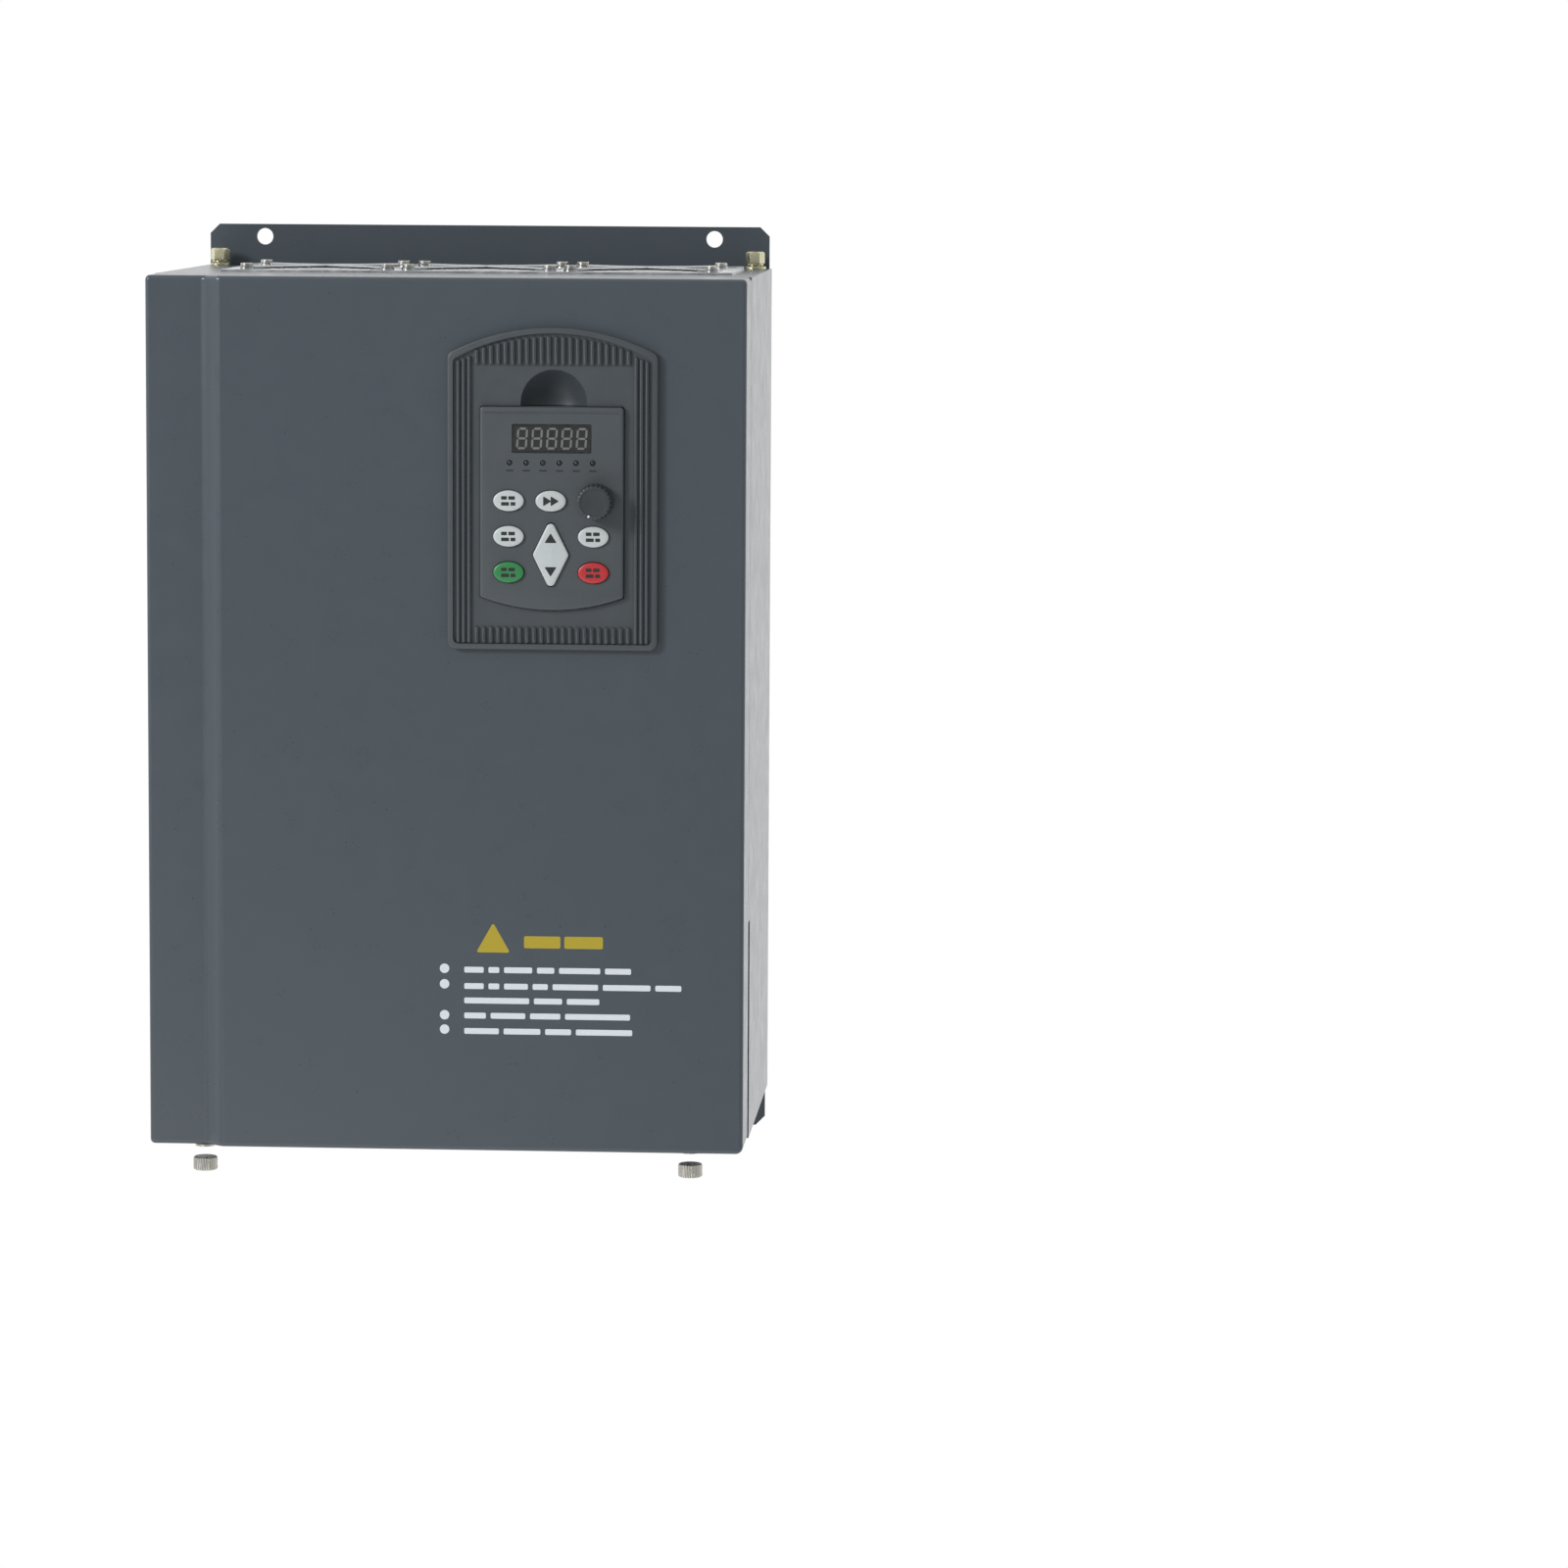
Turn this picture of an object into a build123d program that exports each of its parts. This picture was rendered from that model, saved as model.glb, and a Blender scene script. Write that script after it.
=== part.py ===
from build123d import *

import os
from math import cos, pi, radians, sin

# A wall-mounted variable frequency drive, as an assembly of its separate pieces.
# Millimetres. +X is to the right seen from the front, +Y goes into the wall and +Z is up.
# The origin is the centre of the four wall holes, on the back face of the rear panel.

# ---------------------------------------------------------------- driving dimensions
# Case
WIDTH = 276.0
HEIGHT = 402.0
DEPTH = 200.0
SHEET = 1.5  # chassis steel
PLATE = 2.0  # rear panel steel
COVER_SHEET = 1.2  # front cover steel
GAP = 0.3  # clearance between bodies that slide apart

# Rear panel
REAR_WIDTH = 273.6
FLANGE = 20.0  # how far it stands past the case, above and below
FLANGE_CHAMFER = 4.5
WALL_HOLE_R = 4.0
WALL_HOLE_X = 110.0
WALL_HOLE_Z = 215.0

# Front cover
RETURN_DEPTH = 34.0  # how deep the cover's folded sides are
STRIP_WIDTH = 27.4  # the recessed strip down the left side
STRIP_RECESS = 6.0
BEVEL_WIDTH = 6.5  # the slope between the strip and the main panel
SEAM = 1.0  # gap between the cover's edge and the chassis

# Side slot, low on the right, where the chassis wall is cut back
SIDE_SLOT_DEPTH = 10.0
SIDE_SLOT_TOP = -98.0

# Thumb screws
THUMB_X = 113.0
THUMB_Y = -188.0
THUMB_R = 2.5

THUMB_HEAD_R = 5.6
THUMB_HEAD = (-12.6, -6.4)  # the head's ends, from the bottom of the case
THUMB_NECK_R = 2.8
THUMB_COLLAR_R = 4.2

# Bolts at the rear corners of the top
BOLT_X = 130.5
BOLT_Y = -12.0
BOLT_R = 2.5
BOLT_ACROSS = 8.0
BOLT_HEAD = 5.6
BOLT_SHANK = 10.0  # below the top
FLAT_WASHER = 1.2
FLAT_WASHER_R = 5.2
SPRING_WASHER = 1.6
SPRING_WASHER_R = 4.1

# Fans
FAN_SIZE = 75.6
FAN_PITCH = 76.0
FAN_X = 8.0
FAN_Y = -92.0
FAN_HEIGHT = 30.0
FAN_BORE_R = 36.0
FAN_HUB_R = 15.5
FAN_SCREW_PITCH = 66.0
FAN_BLADES = 7
FAN_SCREW_R = 1.6
FAN_SCREW_LENGTH = 20.0  # below the top
FAN_SHAFT_R = 1.5
BLADE_TILT = 38.0
BLADE_CHORD = 24.0
BLADE_SHEET = 1.6
WIRE_R = 0.8
GUARD_RINGS = (34, 26, 18, 10)
LUG_R = 3.4
LUG_SHEET = 1.2
TRAY_SHEET = 1.2
FAN_TRAY_X = (-112, 127)
FAN_TRAY_Y = (-134, -44)
FAN_TRAY_LIP = 2.0

# Heatsink and its duct
SINK_FRONT = -112.0
SINK_BASE = 12.0
SINK_TOP = 150.0
SINK_BOTTOM = -140.0
FIN_PITCH = 8.5
FIN_THICKNESS = 2.0
FIN_COUNT = 31
FIN_END = -12.0
BAFFLE_Y = -134.0
BAFFLE_END = -104.0

# Power stage
MODULE_HEIGHT = 17.0
RECTIFIER_X = (-112, -18)
RECTIFIER_Z = (-70, -36)
TRANSISTORS_X = (4, 126)
TRANSISTORS_Z = (-84, -22)
CAN_R = 17.5
CAN_LENGTH = 50.0
CAN_XS = (-108, -68, -28)
CAN_ZS = (66, 108)
RELAY_X = (-120, -92)
RELAY_Z = (-22, 22)
RELAY_HEIGHT = 25.0
CORE_X = (-76, -40)
CORE_Z = (-18, 16)
CORE_HEIGHT = 26.0
WINDING_X = (-70, -46)
WINDING_Z = (-23, 21)
WINDING_HEIGHT = 30.0

# Boards
BOARD = 1.6
POWER_BOARD_Y = -133.6
POWER_BOARD_X = (-128, 128)
POWER_BOARD_Z = (-128, 142)
POST_R = 3.5
SHIELD_SHEET = 1.2
SHIELD_Y = -164.0
SHIELD_X = (-6, 128)
SHIELD_Z = (-92, 106)
SHIELD_POST_R = 3.0
SHIELD_POST_XS = (2, 120)
SHIELD_POST_ZS = (-84, 98)
CONTROL_BOARD_Y = -172.4
CONTROL_BOARD_X = (-4, 126)
CONTROL_BOARD_Z = (-90, 104)
STRIP_X = (6, 116)  # the row of control terminals
STRIP_Z = (-89, -79)
STRIP_HEIGHT = 10.6
STRIP_WAYS = 20
STRIP_PITCH = 5.28
STRIP_FIRST = 10.8
RIBBON_Z = (-60, -34)
RIBBON_SHEET = 1.0
SOCKET_FRONT = -178.0  # front face of the keypad's socket on the control board

# Terminals
TERMINAL_PITCH = 22.0
TERMINAL_COUNT = 9
TERMINAL_TOP = -135.0
TERMINAL_BOTTOM = -165.0
TERMINAL_FRONT = -150.0
TERMINAL_SCREW_Z = -150.0
TERMINAL_SCREW_R = 3.0
CELL_FLOOR = -140.0
CELL_HALF = 9.0
BAR_WIDTH = 14.0
BAR_SHEET = 2.0
BAR_Z = (-160, -100)
SENSOR_HALF = 11.0
SENSOR_Z = (-124, -106)
SENSOR_FRONT = -152.0
STUD_X = 122.0
STUD_R = 3.0
STUD_LENGTH = 22.0
NUT_ACROSS = 10.0
NUT_HEIGHT = 5.0
CABLE_HOLE_R = 14.0
CABLE_BORE_R = 11.0
GROMMET_R = 17.0
GROMMET_LIP = 2.5
CABLE_PITCH = 64.0
CABLE_Y = -140.5

# Keypad tray, in front-view coordinates
TRAY_LEFT = 1.8
TRAY_RIGHT = 98.0
TRAY_BOTTOM = 31.8
TRAY_SHOULDER = 166.6
TRAY_APEX = 178.7
TRAY_FIELD = -202.0  # face of the plain middle field
TRAY_RIM = -203.6  # top of the rim and ribs
TRAY_BACK = -185.9
TRAY_WALL = 1.6
TUB_TOP = 161.5  # top of the part that goes through the cover
RIM_WIDTH = 2.6
UPRIGHT_RIBS = 3
UPRIGHT_PITCH = 2.5
COMB_RIBS = 22
COMB_PITCH = 3.3
SCOOP_X = 50.4
SCOOP_Z = 144.4
SCOOP_R = 16.2  # sphere that the finger scoop is part of
SCOOP_OUT = 5.6  # how far its centre lies in front of the field

# Keypad
PAD_LEFT = 16.8
PAD_RIGHT = 82.5
PAD_TOP = 142.8
PAD_SIDE_BOTTOM = 55.6
PAD_BOTTOM = 50.0
PAD_FACE = -204.8
PAD_SPLIT = -195.0  # where the front and back shells meet
PAD_BACK = -188.3
PAD_WALL = 1.6
PAD_SKIN = 1.8
KEY_PROUD = 1.5
KEY_RX = 7.0
KEY_RZ = 4.75
KEY_LEFT_X = 30.1
KEY_MID_X = 49.4
KEY_RIGHT_X = 68.8
KEY_ROWS = (100.0, 83.8, 67.4)
DIAMOND_Z = 75.5
DIAMOND_W = 15.6
DIAMOND_H = 29.7
PIVOT_Y = -202.2  # the axis that the diamond key rocks about
PIVOT_R = 0.6
KNOB_X = 69.8
KNOB_Z = 100.0
KNOB_R = 8.3
KNOB_LENGTH = 11.0
KNOB_SHAFT_R = 2.97
FLUTES = 24
DISPLAY_X = (32.0, 67.4)
DISPLAY_Z = (122.2, 134.5)
STATUS_LEDS = 6
STATUS_PITCH = 7.6
STATUS_X = 30.5
STATUS_Z = 117.3
STATUS_R = 1.1
STEM_R = 2.0
STEM_SHIFT = 7.7  # how far the diamond key's stems stand from its middle

# ---------------------------------------------------------------- derived places
RIGHT = WIDTH / 2
TOP = HEIGHT / 2
BOTTOM = -TOP
FRONT = -DEPTH
COVER_BACK = FRONT + RETURN_DEPTH
CHASSIS_FRONT = COVER_BACK + SEAM
INSIDE = RIGHT - SHEET  # inner faces of the side panels
LIP_BACK = -158.0
SIDE_LIP_FRONT = -182.0
END_LIP_FRONT = -191.5
END_LIP_X = INSIDE - 2.5  # half the width of the lips under the cover's ends
SIDE_LIP_TOP = TOP - 3.5
FAN_TOP = TOP - SHEET
FAN_CENTRES = [FAN_X + FAN_PITCH * i for i in (-1, 0, 1)]
GUARD_BASE = TOP + TRAY_SHEET
TERMINAL_XS = [TERMINAL_PITCH * (i - (TERMINAL_COUNT - 1) / 2) for i in range(TERMINAL_COUNT)]
CABLE_XS = [CABLE_PITCH * i for i in (-1.5, -0.5, 0.5, 1.5)]
BOARD_FRONT = PAD_SPLIT - BOARD  # front face of the keypad's board
SWITCH_TOP = BOARD_FRONT - 3.0

SIDES = {"left": -1, "right": 1}
FAN_NAMES = ("left", "middle", "right")
OVAL_KEYS = {
    "key_menu": (KEY_LEFT_X, KEY_ROWS[0]),
    "key_shift": (KEY_MID_X, KEY_ROWS[0]),
    "key_enter": (KEY_LEFT_X, KEY_ROWS[1]),
    "key_jog": (KEY_RIGHT_X, KEY_ROWS[1]),
    "key_run": (KEY_LEFT_X, KEY_ROWS[2]),
    "key_stop": (KEY_RIGHT_X, KEY_ROWS[2]),
}


# ---------------------------------------------------------------- shape helpers
def block(x, y, z):
    """A box between the two limits given for each axis, in either order."""
    centre = [sum(limits) / 2 for limits in (x, y, z)]
    size = [abs(limits[1] - limits[0]) for limits in (x, y, z)]
    return Pos(*centre) * Box(*size)


def post_y(x, z, y, r):
    """A round bar along Y between two depths."""
    return Pos(x, sum(y) / 2, z) * Rot(90, 0, 0) * Cylinder(r, abs(y[1] - y[0]))


def post_x(y, z, x, r):
    """A round bar along X between two places."""
    return Pos(sum(x) / 2, y, z) * Rot(0, 90, 0) * Cylinder(r, abs(x[1] - x[0]))


def post_z(x, y, z, r):
    """A round bar along Z between two heights."""
    return Pos(x, y, sum(z) / 2) * Cylinder(r, abs(z[1] - z[0]))


def prism_y(outline, y):
    """A front-view outline, given thickness between the depths y = (front, back)."""
    return extrude(Plane.XZ.offset(-y[1]) * outline, y[1] - y[0])


def hexagon_z(x, y, z, across):
    """A hexagonal prism along Z, with two flats facing along Y."""
    outline = RegularPolygon(across / 2, 6, major_radius=False, rotation=30)
    return extrude(Pos(x, y, z[0]) * outline, z[1] - z[0])


def hexagon_y(x, z, y, across):
    """A hexagonal prism along Y."""
    outline = RegularPolygon(across / 2, 6, major_radius=False)
    return prism_y(Pos(x, z) * outline, y)


def group(solids):
    """Several separate solids that share one node."""
    return Compound([solid for item in solids for solid in item.solids()])


# ---------------------------------------------------------------- case
def rear_panel():
    outline = Rectangle(REAR_WIDTH, HEIGHT + 2 * FLANGE)
    outline = chamfer(outline.vertices(), FLANGE_CHAMFER)
    panel = prism_y(outline, (-PLATE, 0))
    holes = [
        post_y(x, z, (-PLATE - 1, 1), WALL_HOLE_R)
        for x in (-WALL_HOLE_X, WALL_HOLE_X)
        for z in (-WALL_HOLE_Z, WALL_HOLE_Z)
    ]
    return panel - holes


def side_panel(side):
    """The wall, with a lip welded inside it that the cover slides over."""
    wall = block((side * INSIDE, side * RIGHT), (CHASSIS_FRONT, -PLATE), (BOTTOM, TOP))
    lip_x = (side * INSIDE, side * (INSIDE - SHEET))
    if side > 0:
        cut_back = CHASSIS_FRONT + SIDE_SLOT_DEPTH
        wall -= block((INSIDE - 1, RIGHT + 1), (CHASSIS_FRONT - 1, cut_back), (BOTTOM - 1, SIDE_SLOT_TOP))
        lip_z = (SIDE_SLOT_TOP, SIDE_LIP_TOP)
    else:
        lip_z = (-SIDE_LIP_TOP, SIDE_LIP_TOP)
    return wall + block(lip_x, (SIDE_LIP_FRONT, LIP_BACK), lip_z)


def top_panel():
    panel = block((-INSIDE, INSIDE), (CHASSIS_FRONT, -PLATE), (TOP - SHEET, TOP))
    panel += block((-END_LIP_X, END_LIP_X), (END_LIP_FRONT, LIP_BACK), (TOP - 2 * SHEET, TOP - SHEET))
    panel -= fan_holes((TOP - 5, TOP + 1))
    return panel - [post_z(x, BOLT_Y, (TOP - 5, TOP + 1), BOLT_R + 0.2) for x in (-BOLT_X, BOLT_X)]


def bottom_panel():
    """The floor of the case, with four cable holes in front and air slots under the heatsink."""
    panel = block((-INSIDE, INSIDE), (CHASSIS_FRONT, -PLATE), (BOTTOM, BOTTOM + SHEET))
    panel += block((-END_LIP_X, END_LIP_X), (END_LIP_FRONT, LIP_BACK), (BOTTOM + SHEET, BOTTOM + 2 * SHEET))
    through = (BOTTOM - 1, BOTTOM + 5)
    panel -= [post_z(x, CABLE_Y, through, CABLE_HOLE_R) for x in CABLE_XS]
    panel -= [post_z(x, THUMB_Y, through, THUMB_R + 0.1) for x in (-THUMB_X, THUMB_X)]
    slots = [block((x - 2.5, x + 2.5), (-90, -30), through) for x in range(-108, 109, 12)]
    return panel - slots


def top_hex_bolts():
    """A hexagon bolt, a spring washer and a flat washer at each rear corner of the top."""
    pieces = []
    for x in (-BOLT_X, BOLT_X):
        clear_hole = post_z(x, BOLT_Y, (TOP - 1, TOP + 4), BOLT_R + 0.05)
        pieces.append(post_z(x, BOLT_Y, (TOP, TOP + FLAT_WASHER), FLAT_WASHER_R) - clear_hole)
        seat = TOP + FLAT_WASHER + SPRING_WASHER
        pieces.append(post_z(x, BOLT_Y, (TOP + FLAT_WASHER, seat), SPRING_WASHER_R) - clear_hole)
        head = hexagon_z(x, BOLT_Y, (seat, seat + BOLT_HEAD), BOLT_ACROSS)
        pieces.append(head + post_z(x, BOLT_Y, (TOP - BOLT_SHANK, seat + 0.2), BOLT_R))
    return group(pieces)


# ---------------------------------------------------------------- front cover
def cover_outline(inset):
    """The cover's section in plan: strip, bevel and main panel, open towards the wall."""
    rear = COVER_BACK + (1 if inset else 0)
    slope_x = inset * 0.45  # how far the bevel's inner corners move along X
    points = [
        (-RIGHT + inset, rear),
        (-RIGHT + inset, FRONT + STRIP_RECESS + inset),
        (-RIGHT + STRIP_WIDTH + slope_x, FRONT + STRIP_RECESS + inset),
        (-RIGHT + STRIP_WIDTH + BEVEL_WIDTH + slope_x, FRONT + inset),
        (RIGHT - inset, FRONT + inset),
        (RIGHT - inset, rear),
    ]
    return Polygon(*points, align=None)


def front_cover():
    """A folded pan in seven flats, with a slot open to the rear for each thumb screw."""
    walls = (BOTTOM + COVER_SHEET, TOP - COVER_SHEET)
    section = cover_outline(0) - cover_outline(COVER_SHEET)
    sheet = extrude(Pos(0, 0, walls[0]) * section, walls[1] - walls[0])
    bevel = (-RIGHT + STRIP_WIDTH, -RIGHT + STRIP_WIDTH + BEVEL_WIDTH)
    inner = (-RIGHT + COVER_SHEET, RIGHT - COVER_SHEET)
    spans = [(-RIGHT, inner[0]), (inner[0], bevel[0]), bevel, (bevel[1], inner[1]), (inner[1], RIGHT)]
    flats = [sheet & block(span, (FRONT - 1, COVER_BACK + 1), (BOTTOM, TOP)) for span in spans]
    flats[3] -= tub_block(GAP, (FRONT - 1, FRONT + 2))
    top = extrude(Pos(0, 0, walls[1]) * cover_outline(0), COVER_SHEET)
    bottom = extrude(Pos(0, 0, BOTTOM) * cover_outline(0), COVER_SHEET)
    half_slot = THUMB_R + GAP
    for x in (-THUMB_X, THUMB_X):
        floor = (BOTTOM - 1, BOTTOM + 2)
        bottom -= post_z(x, THUMB_Y, floor, half_slot)
        bottom -= block((x - half_slot, x + half_slot), (THUMB_Y, COVER_BACK + 1), floor)
    return group([*flats, top, bottom])


def clinch_nuts():
    height = (BOTTOM + 2 * SHEET, BOTTOM + 2 * SHEET + 6)
    nuts = [hexagon_z(x, THUMB_Y, height, 8.0) for x in (-THUMB_X, THUMB_X)]
    return group([nut - bore(nut, THUMB_R + 0.06) for nut in nuts])


def bore(solid, r):
    """A hole along Z through the middle of a solid."""
    box = solid.bounding_box()
    centre = box.center()
    return post_z(centre.X, centre.Y, (box.min.Z - 1, box.max.Z + 1), r)


def thumb_washer(x):
    washer = post_z(x, THUMB_Y, (BOTTOM - 1.3, BOTTOM - 0.2), 4.75)
    return washer - bore(washer, THUMB_R + 0.05)


def thumb_screw(x):
    screw = post_z(x, THUMB_Y, (BOTTOM - 2, BOTTOM + 10), THUMB_R)
    screw += post_z(x, THUMB_Y, (BOTTOM - 2.4, BOTTOM - 1.35), THUMB_COLLAR_R)
    screw += post_z(x, THUMB_Y, (BOTTOM - 7, BOTTOM - 2), THUMB_NECK_R)
    head = (BOTTOM + THUMB_HEAD[0], BOTTOM + THUMB_HEAD[1])
    return screw + post_z(x, THUMB_Y, head, THUMB_HEAD_R)


# ---------------------------------------------------------------- fans
def corner_places(x):
    """The four screw places of the fan centred at x."""
    half = FAN_SCREW_PITCH / 2
    return [(x + i * half, FAN_Y + j * half) for i in (-1, 1) for j in (-1, 1)]


def fan_holes(z):
    """The three air holes and their screw holes, to be cut from a panel."""
    holes = [post_z(x, FAN_Y, z, FAN_BORE_R) for x in FAN_CENTRES]
    screw_hole_r = FAN_SCREW_R + 0.2
    return holes + [post_z(*place, z, screw_hole_r) for x in FAN_CENTRES for place in corner_places(x)]


def fan_tray():
    """A plated sheet under the finger guards, with a low lip along its rear edge."""
    rear = FAN_TRAY_Y[1]
    tray = block(FAN_TRAY_X, FAN_TRAY_Y, (TOP, TOP + TRAY_SHEET))
    tray += block(FAN_TRAY_X, (rear - TRAY_SHEET, rear), (TOP, TOP + FAN_TRAY_LIP))
    return tray - fan_holes((TOP - 1, TOP + 5))


def fan_frame(x):
    """A square frame with a round duct, and a bearing hub on four struts at the outlet."""
    half = FAN_SIZE / 2
    z = (FAN_TOP - FAN_HEIGHT, FAN_TOP)
    frame = block((x - half, x + half), (FAN_Y - half, FAN_Y + half), z)
    frame = fillet(frame.edges().filter_by(Axis.Z), 4)
    frame -= post_z(x, FAN_Y, (z[0] - 1, z[1] + 1), FAN_BORE_R)
    for angle in (45, 135):
        strut = Pos(x, FAN_Y, FAN_TOP - 1.5) * Rot(0, 0, angle) * Box(2 * FAN_BORE_R + 2, 4, 3)
        frame += strut
    frame += post_z(x, FAN_Y, (FAN_TOP - 6, FAN_TOP), FAN_HUB_R)
    frame -= [post_z(*place, (z[0] - 1, z[1] + 1), FAN_SCREW_R + 0.2) for place in corner_places(x)]
    return frame - post_z(x, FAN_Y, (FAN_TOP - 7, FAN_TOP - 0.5), FAN_SHAFT_R + 0.05)


def impeller(x):
    """A hub with swept blades, and the shaft that turns in the frame's hub."""
    low = FAN_TOP - 28
    high = FAN_TOP - 6.6
    duct = post_z(x, FAN_Y, (low, high), FAN_BORE_R - 1.4)
    blade = Pos(25, 0, 0) * Rot(BLADE_TILT, 0, 0) * Box(23, BLADE_SHEET, BLADE_CHORD)
    blades = []
    for i in range(FAN_BLADES):
        blades.append(Pos(x, FAN_Y, (low + high) / 2) * Rot(0, 0, 360 / FAN_BLADES * i) * blade)
    hub = post_z(x, FAN_Y, (low, high), FAN_HUB_R)
    wheel = hub + [blade & duct for blade in blades]
    return wheel + post_z(x, FAN_Y, (high - 1, FAN_TOP - 1.2), FAN_SHAFT_R)


def finger_guard(x):
    """Four wire rings under two crossed wires, with a lug at each corner."""
    ring_z = TOP + 0.6
    wire_z = GUARD_BASE + WIRE_R
    lug_distance = FAN_SCREW_PITCH / 2 * 2**0.5
    guard = Pos(x, FAN_Y, ring_z) * Torus(GUARD_RINGS[0], WIRE_R)
    guard += [Pos(x, FAN_Y, ring_z) * Torus(r, WIRE_R) for r in GUARD_RINGS[1:]]
    for angle in (45, 135):
        wire = Rot(0, 90, 0) * Cylinder(WIRE_R, 2 * lug_distance - 2 * LUG_R + 0.4)
        guard += Pos(x, FAN_Y, wire_z) * Rot(0, 0, angle) * wire
    z = (GUARD_BASE, GUARD_BASE + LUG_SHEET)
    guard += [post_z(*place, z, LUG_R) for place in corner_places(x)]
    return guard - [post_z(*place, (z[0] - 1, z[1] + 1), FAN_SCREW_R + 0.15) for place in corner_places(x)]


def fan_screws():
    head = (GUARD_BASE + LUG_SHEET, GUARD_BASE + LUG_SHEET + 1.6)
    screws = []
    for x in FAN_CENTRES:
        for place in corner_places(x):
            shank = (TOP - FAN_SCREW_LENGTH, head[0])
            screws.append(post_z(*place, head, 2.9) + post_z(*place, shank, FAN_SCREW_R))
    return group(screws)


# ---------------------------------------------------------------- heatsink and power stage
def heatsink():
    """A base plate that spans the case, with fins bonded to it towards the wall."""
    z = (SINK_BOTTOM, SINK_TOP)
    fin_root = SINK_FRONT + SINK_BASE
    plates = [block((-INSIDE, INSIDE), (SINK_FRONT, fin_root), z)]
    for i in range(FIN_COUNT):
        x = FIN_PITCH * (i - (FIN_COUNT - 1) / 2)
        plates.append(block((x - FIN_THICKNESS / 2, x + FIN_THICKNESS / 2), (fin_root, FIN_END), z))
    return group(plates)


def air_baffles():
    """The sheets that close the air duct above and below the heatsink."""
    upper = block((-INSIDE, INSIDE), (BAFFLE_Y, BAFFLE_Y + SHEET), (SINK_TOP, TOP - SHEET))
    upper += block((-INSIDE, INSIDE), (BAFFLE_Y, BAFFLE_END), (SINK_TOP, SINK_TOP + SHEET))
    lower = block((-INSIDE, INSIDE), (SINK_FRONT, SINK_FRONT + SHEET), (BOTTOM + SHEET, SINK_BOTTOM))
    return group([upper, lower])


def power_modules():
    """The rectifier and the transistor module, flat on the heatsink."""
    y = (SINK_FRONT - MODULE_HEIGHT, SINK_FRONT)
    return group([block(RECTIFIER_X, y, RECTIFIER_Z), block(TRANSISTORS_X, y, TRANSISTORS_Z)])


def power_board():
    return block(POWER_BOARD_X, (POWER_BOARD_Y, POWER_BOARD_Y + BOARD), POWER_BOARD_Z)


def board_standoffs():
    """Posts from the heatsink to the power board, and on to the shield and the control board."""
    places = [(x, z) for x in (-122, 122) for z in (-120, -5, 134)]
    places += [(0, -120), (0, 134)]
    posts = [post_y(x, z, (POWER_BOARD_Y + BOARD, SINK_FRONT), POST_R) for x, z in places]
    for x, z in [(x, z) for x in SHIELD_POST_XS for z in SHIELD_POST_ZS]:
        posts.append(post_y(x, z, (SHIELD_Y + SHIELD_SHEET, POWER_BOARD_Y), SHIELD_POST_R))
        posts.append(post_y(x, z, (CONTROL_BOARD_Y + BOARD, SHIELD_Y), SHIELD_POST_R))
    return group(posts)


def bus_capacitors():
    """Six electrolytic cans that stand on the power board."""
    y = (POWER_BOARD_Y - CAN_LENGTH, POWER_BOARD_Y)
    return group([post_y(x, z, y, CAN_R) for x in CAN_XS for z in CAN_ZS])


def busbars():
    """An angled copper bar from each main terminal up to the power board."""
    bars = []
    for x in TERMINAL_XS:
        width = (x - BAR_WIDTH / 2, x + BAR_WIDTH / 2)
        bar = block(width, (CELL_FLOOR - BAR_SHEET, CELL_FLOOR), BAR_Z)
        bar += block(width, (CELL_FLOOR - BAR_SHEET, POWER_BOARD_Y), (BAR_Z[1] - BAR_SHEET, BAR_Z[1]))
        hole = (CELL_FLOOR - 5, CELL_FLOOR + 1)
        bars.append(bar - post_y(x, TERMINAL_SCREW_Z, hole, TERMINAL_SCREW_R + GAP))
    return group(bars)


def main_terminal_block():
    """A moulded block with a barrier between each pair of cells."""
    half = TERMINAL_PITCH * TERMINAL_COUNT / 2 + 2
    terminals = block((-half, half), (TERMINAL_FRONT, SINK_FRONT), (TERMINAL_BOTTOM, TERMINAL_TOP))
    for x in TERMINAL_XS:
        cell_z = (TERMINAL_BOTTOM - 1, TERMINAL_TOP + 1)
        cell_x = (x - CELL_HALF, x + CELL_HALF)
        terminals -= block(cell_x, (TERMINAL_FRONT - 1, CELL_FLOOR), cell_z)
        terminals -= post_y(x, TERMINAL_SCREW_Z, (CELL_FLOOR - 1, -122), TERMINAL_SCREW_R + 0.1)
    return terminals


def terminal_screws():
    """A pan-head screw with its square washer at each main terminal."""
    bar_front = CELL_FLOOR - BAR_SHEET
    screws = []
    for x in TERMINAL_XS:
        screw = block((x - 6, x + 6), (bar_front - 1.5, bar_front), (-156, -144))
        screw += post_y(x, TERMINAL_SCREW_Z, (bar_front - 5, bar_front - 1.5), 5.0)
        screws.append(screw + post_y(x, TERMINAL_SCREW_Z, (bar_front - 1, -123), TERMINAL_SCREW_R))
    return group(screws)


def current_sensors():
    """Two sensors on the power board, each round one output bar."""
    sensors = []
    for x in (TERMINAL_XS[6], TERMINAL_XS[8]):
        sensor = block((x - SENSOR_HALF, x + SENSOR_HALF), (SENSOR_FRONT, POWER_BOARD_Y), SENSOR_Z)
        half = BAR_WIDTH / 2 + 0.6
        window = (SENSOR_Z[0] - 1, SENSOR_Z[1] + 1)
        sensors.append(sensor - block((x - half, x + half), (-144.5, -137.8), window))
    return group(sensors)


def soft_start_relay():
    return block(RELAY_X, (POWER_BOARD_Y - RELAY_HEIGHT, POWER_BOARD_Y), RELAY_Z)


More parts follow.
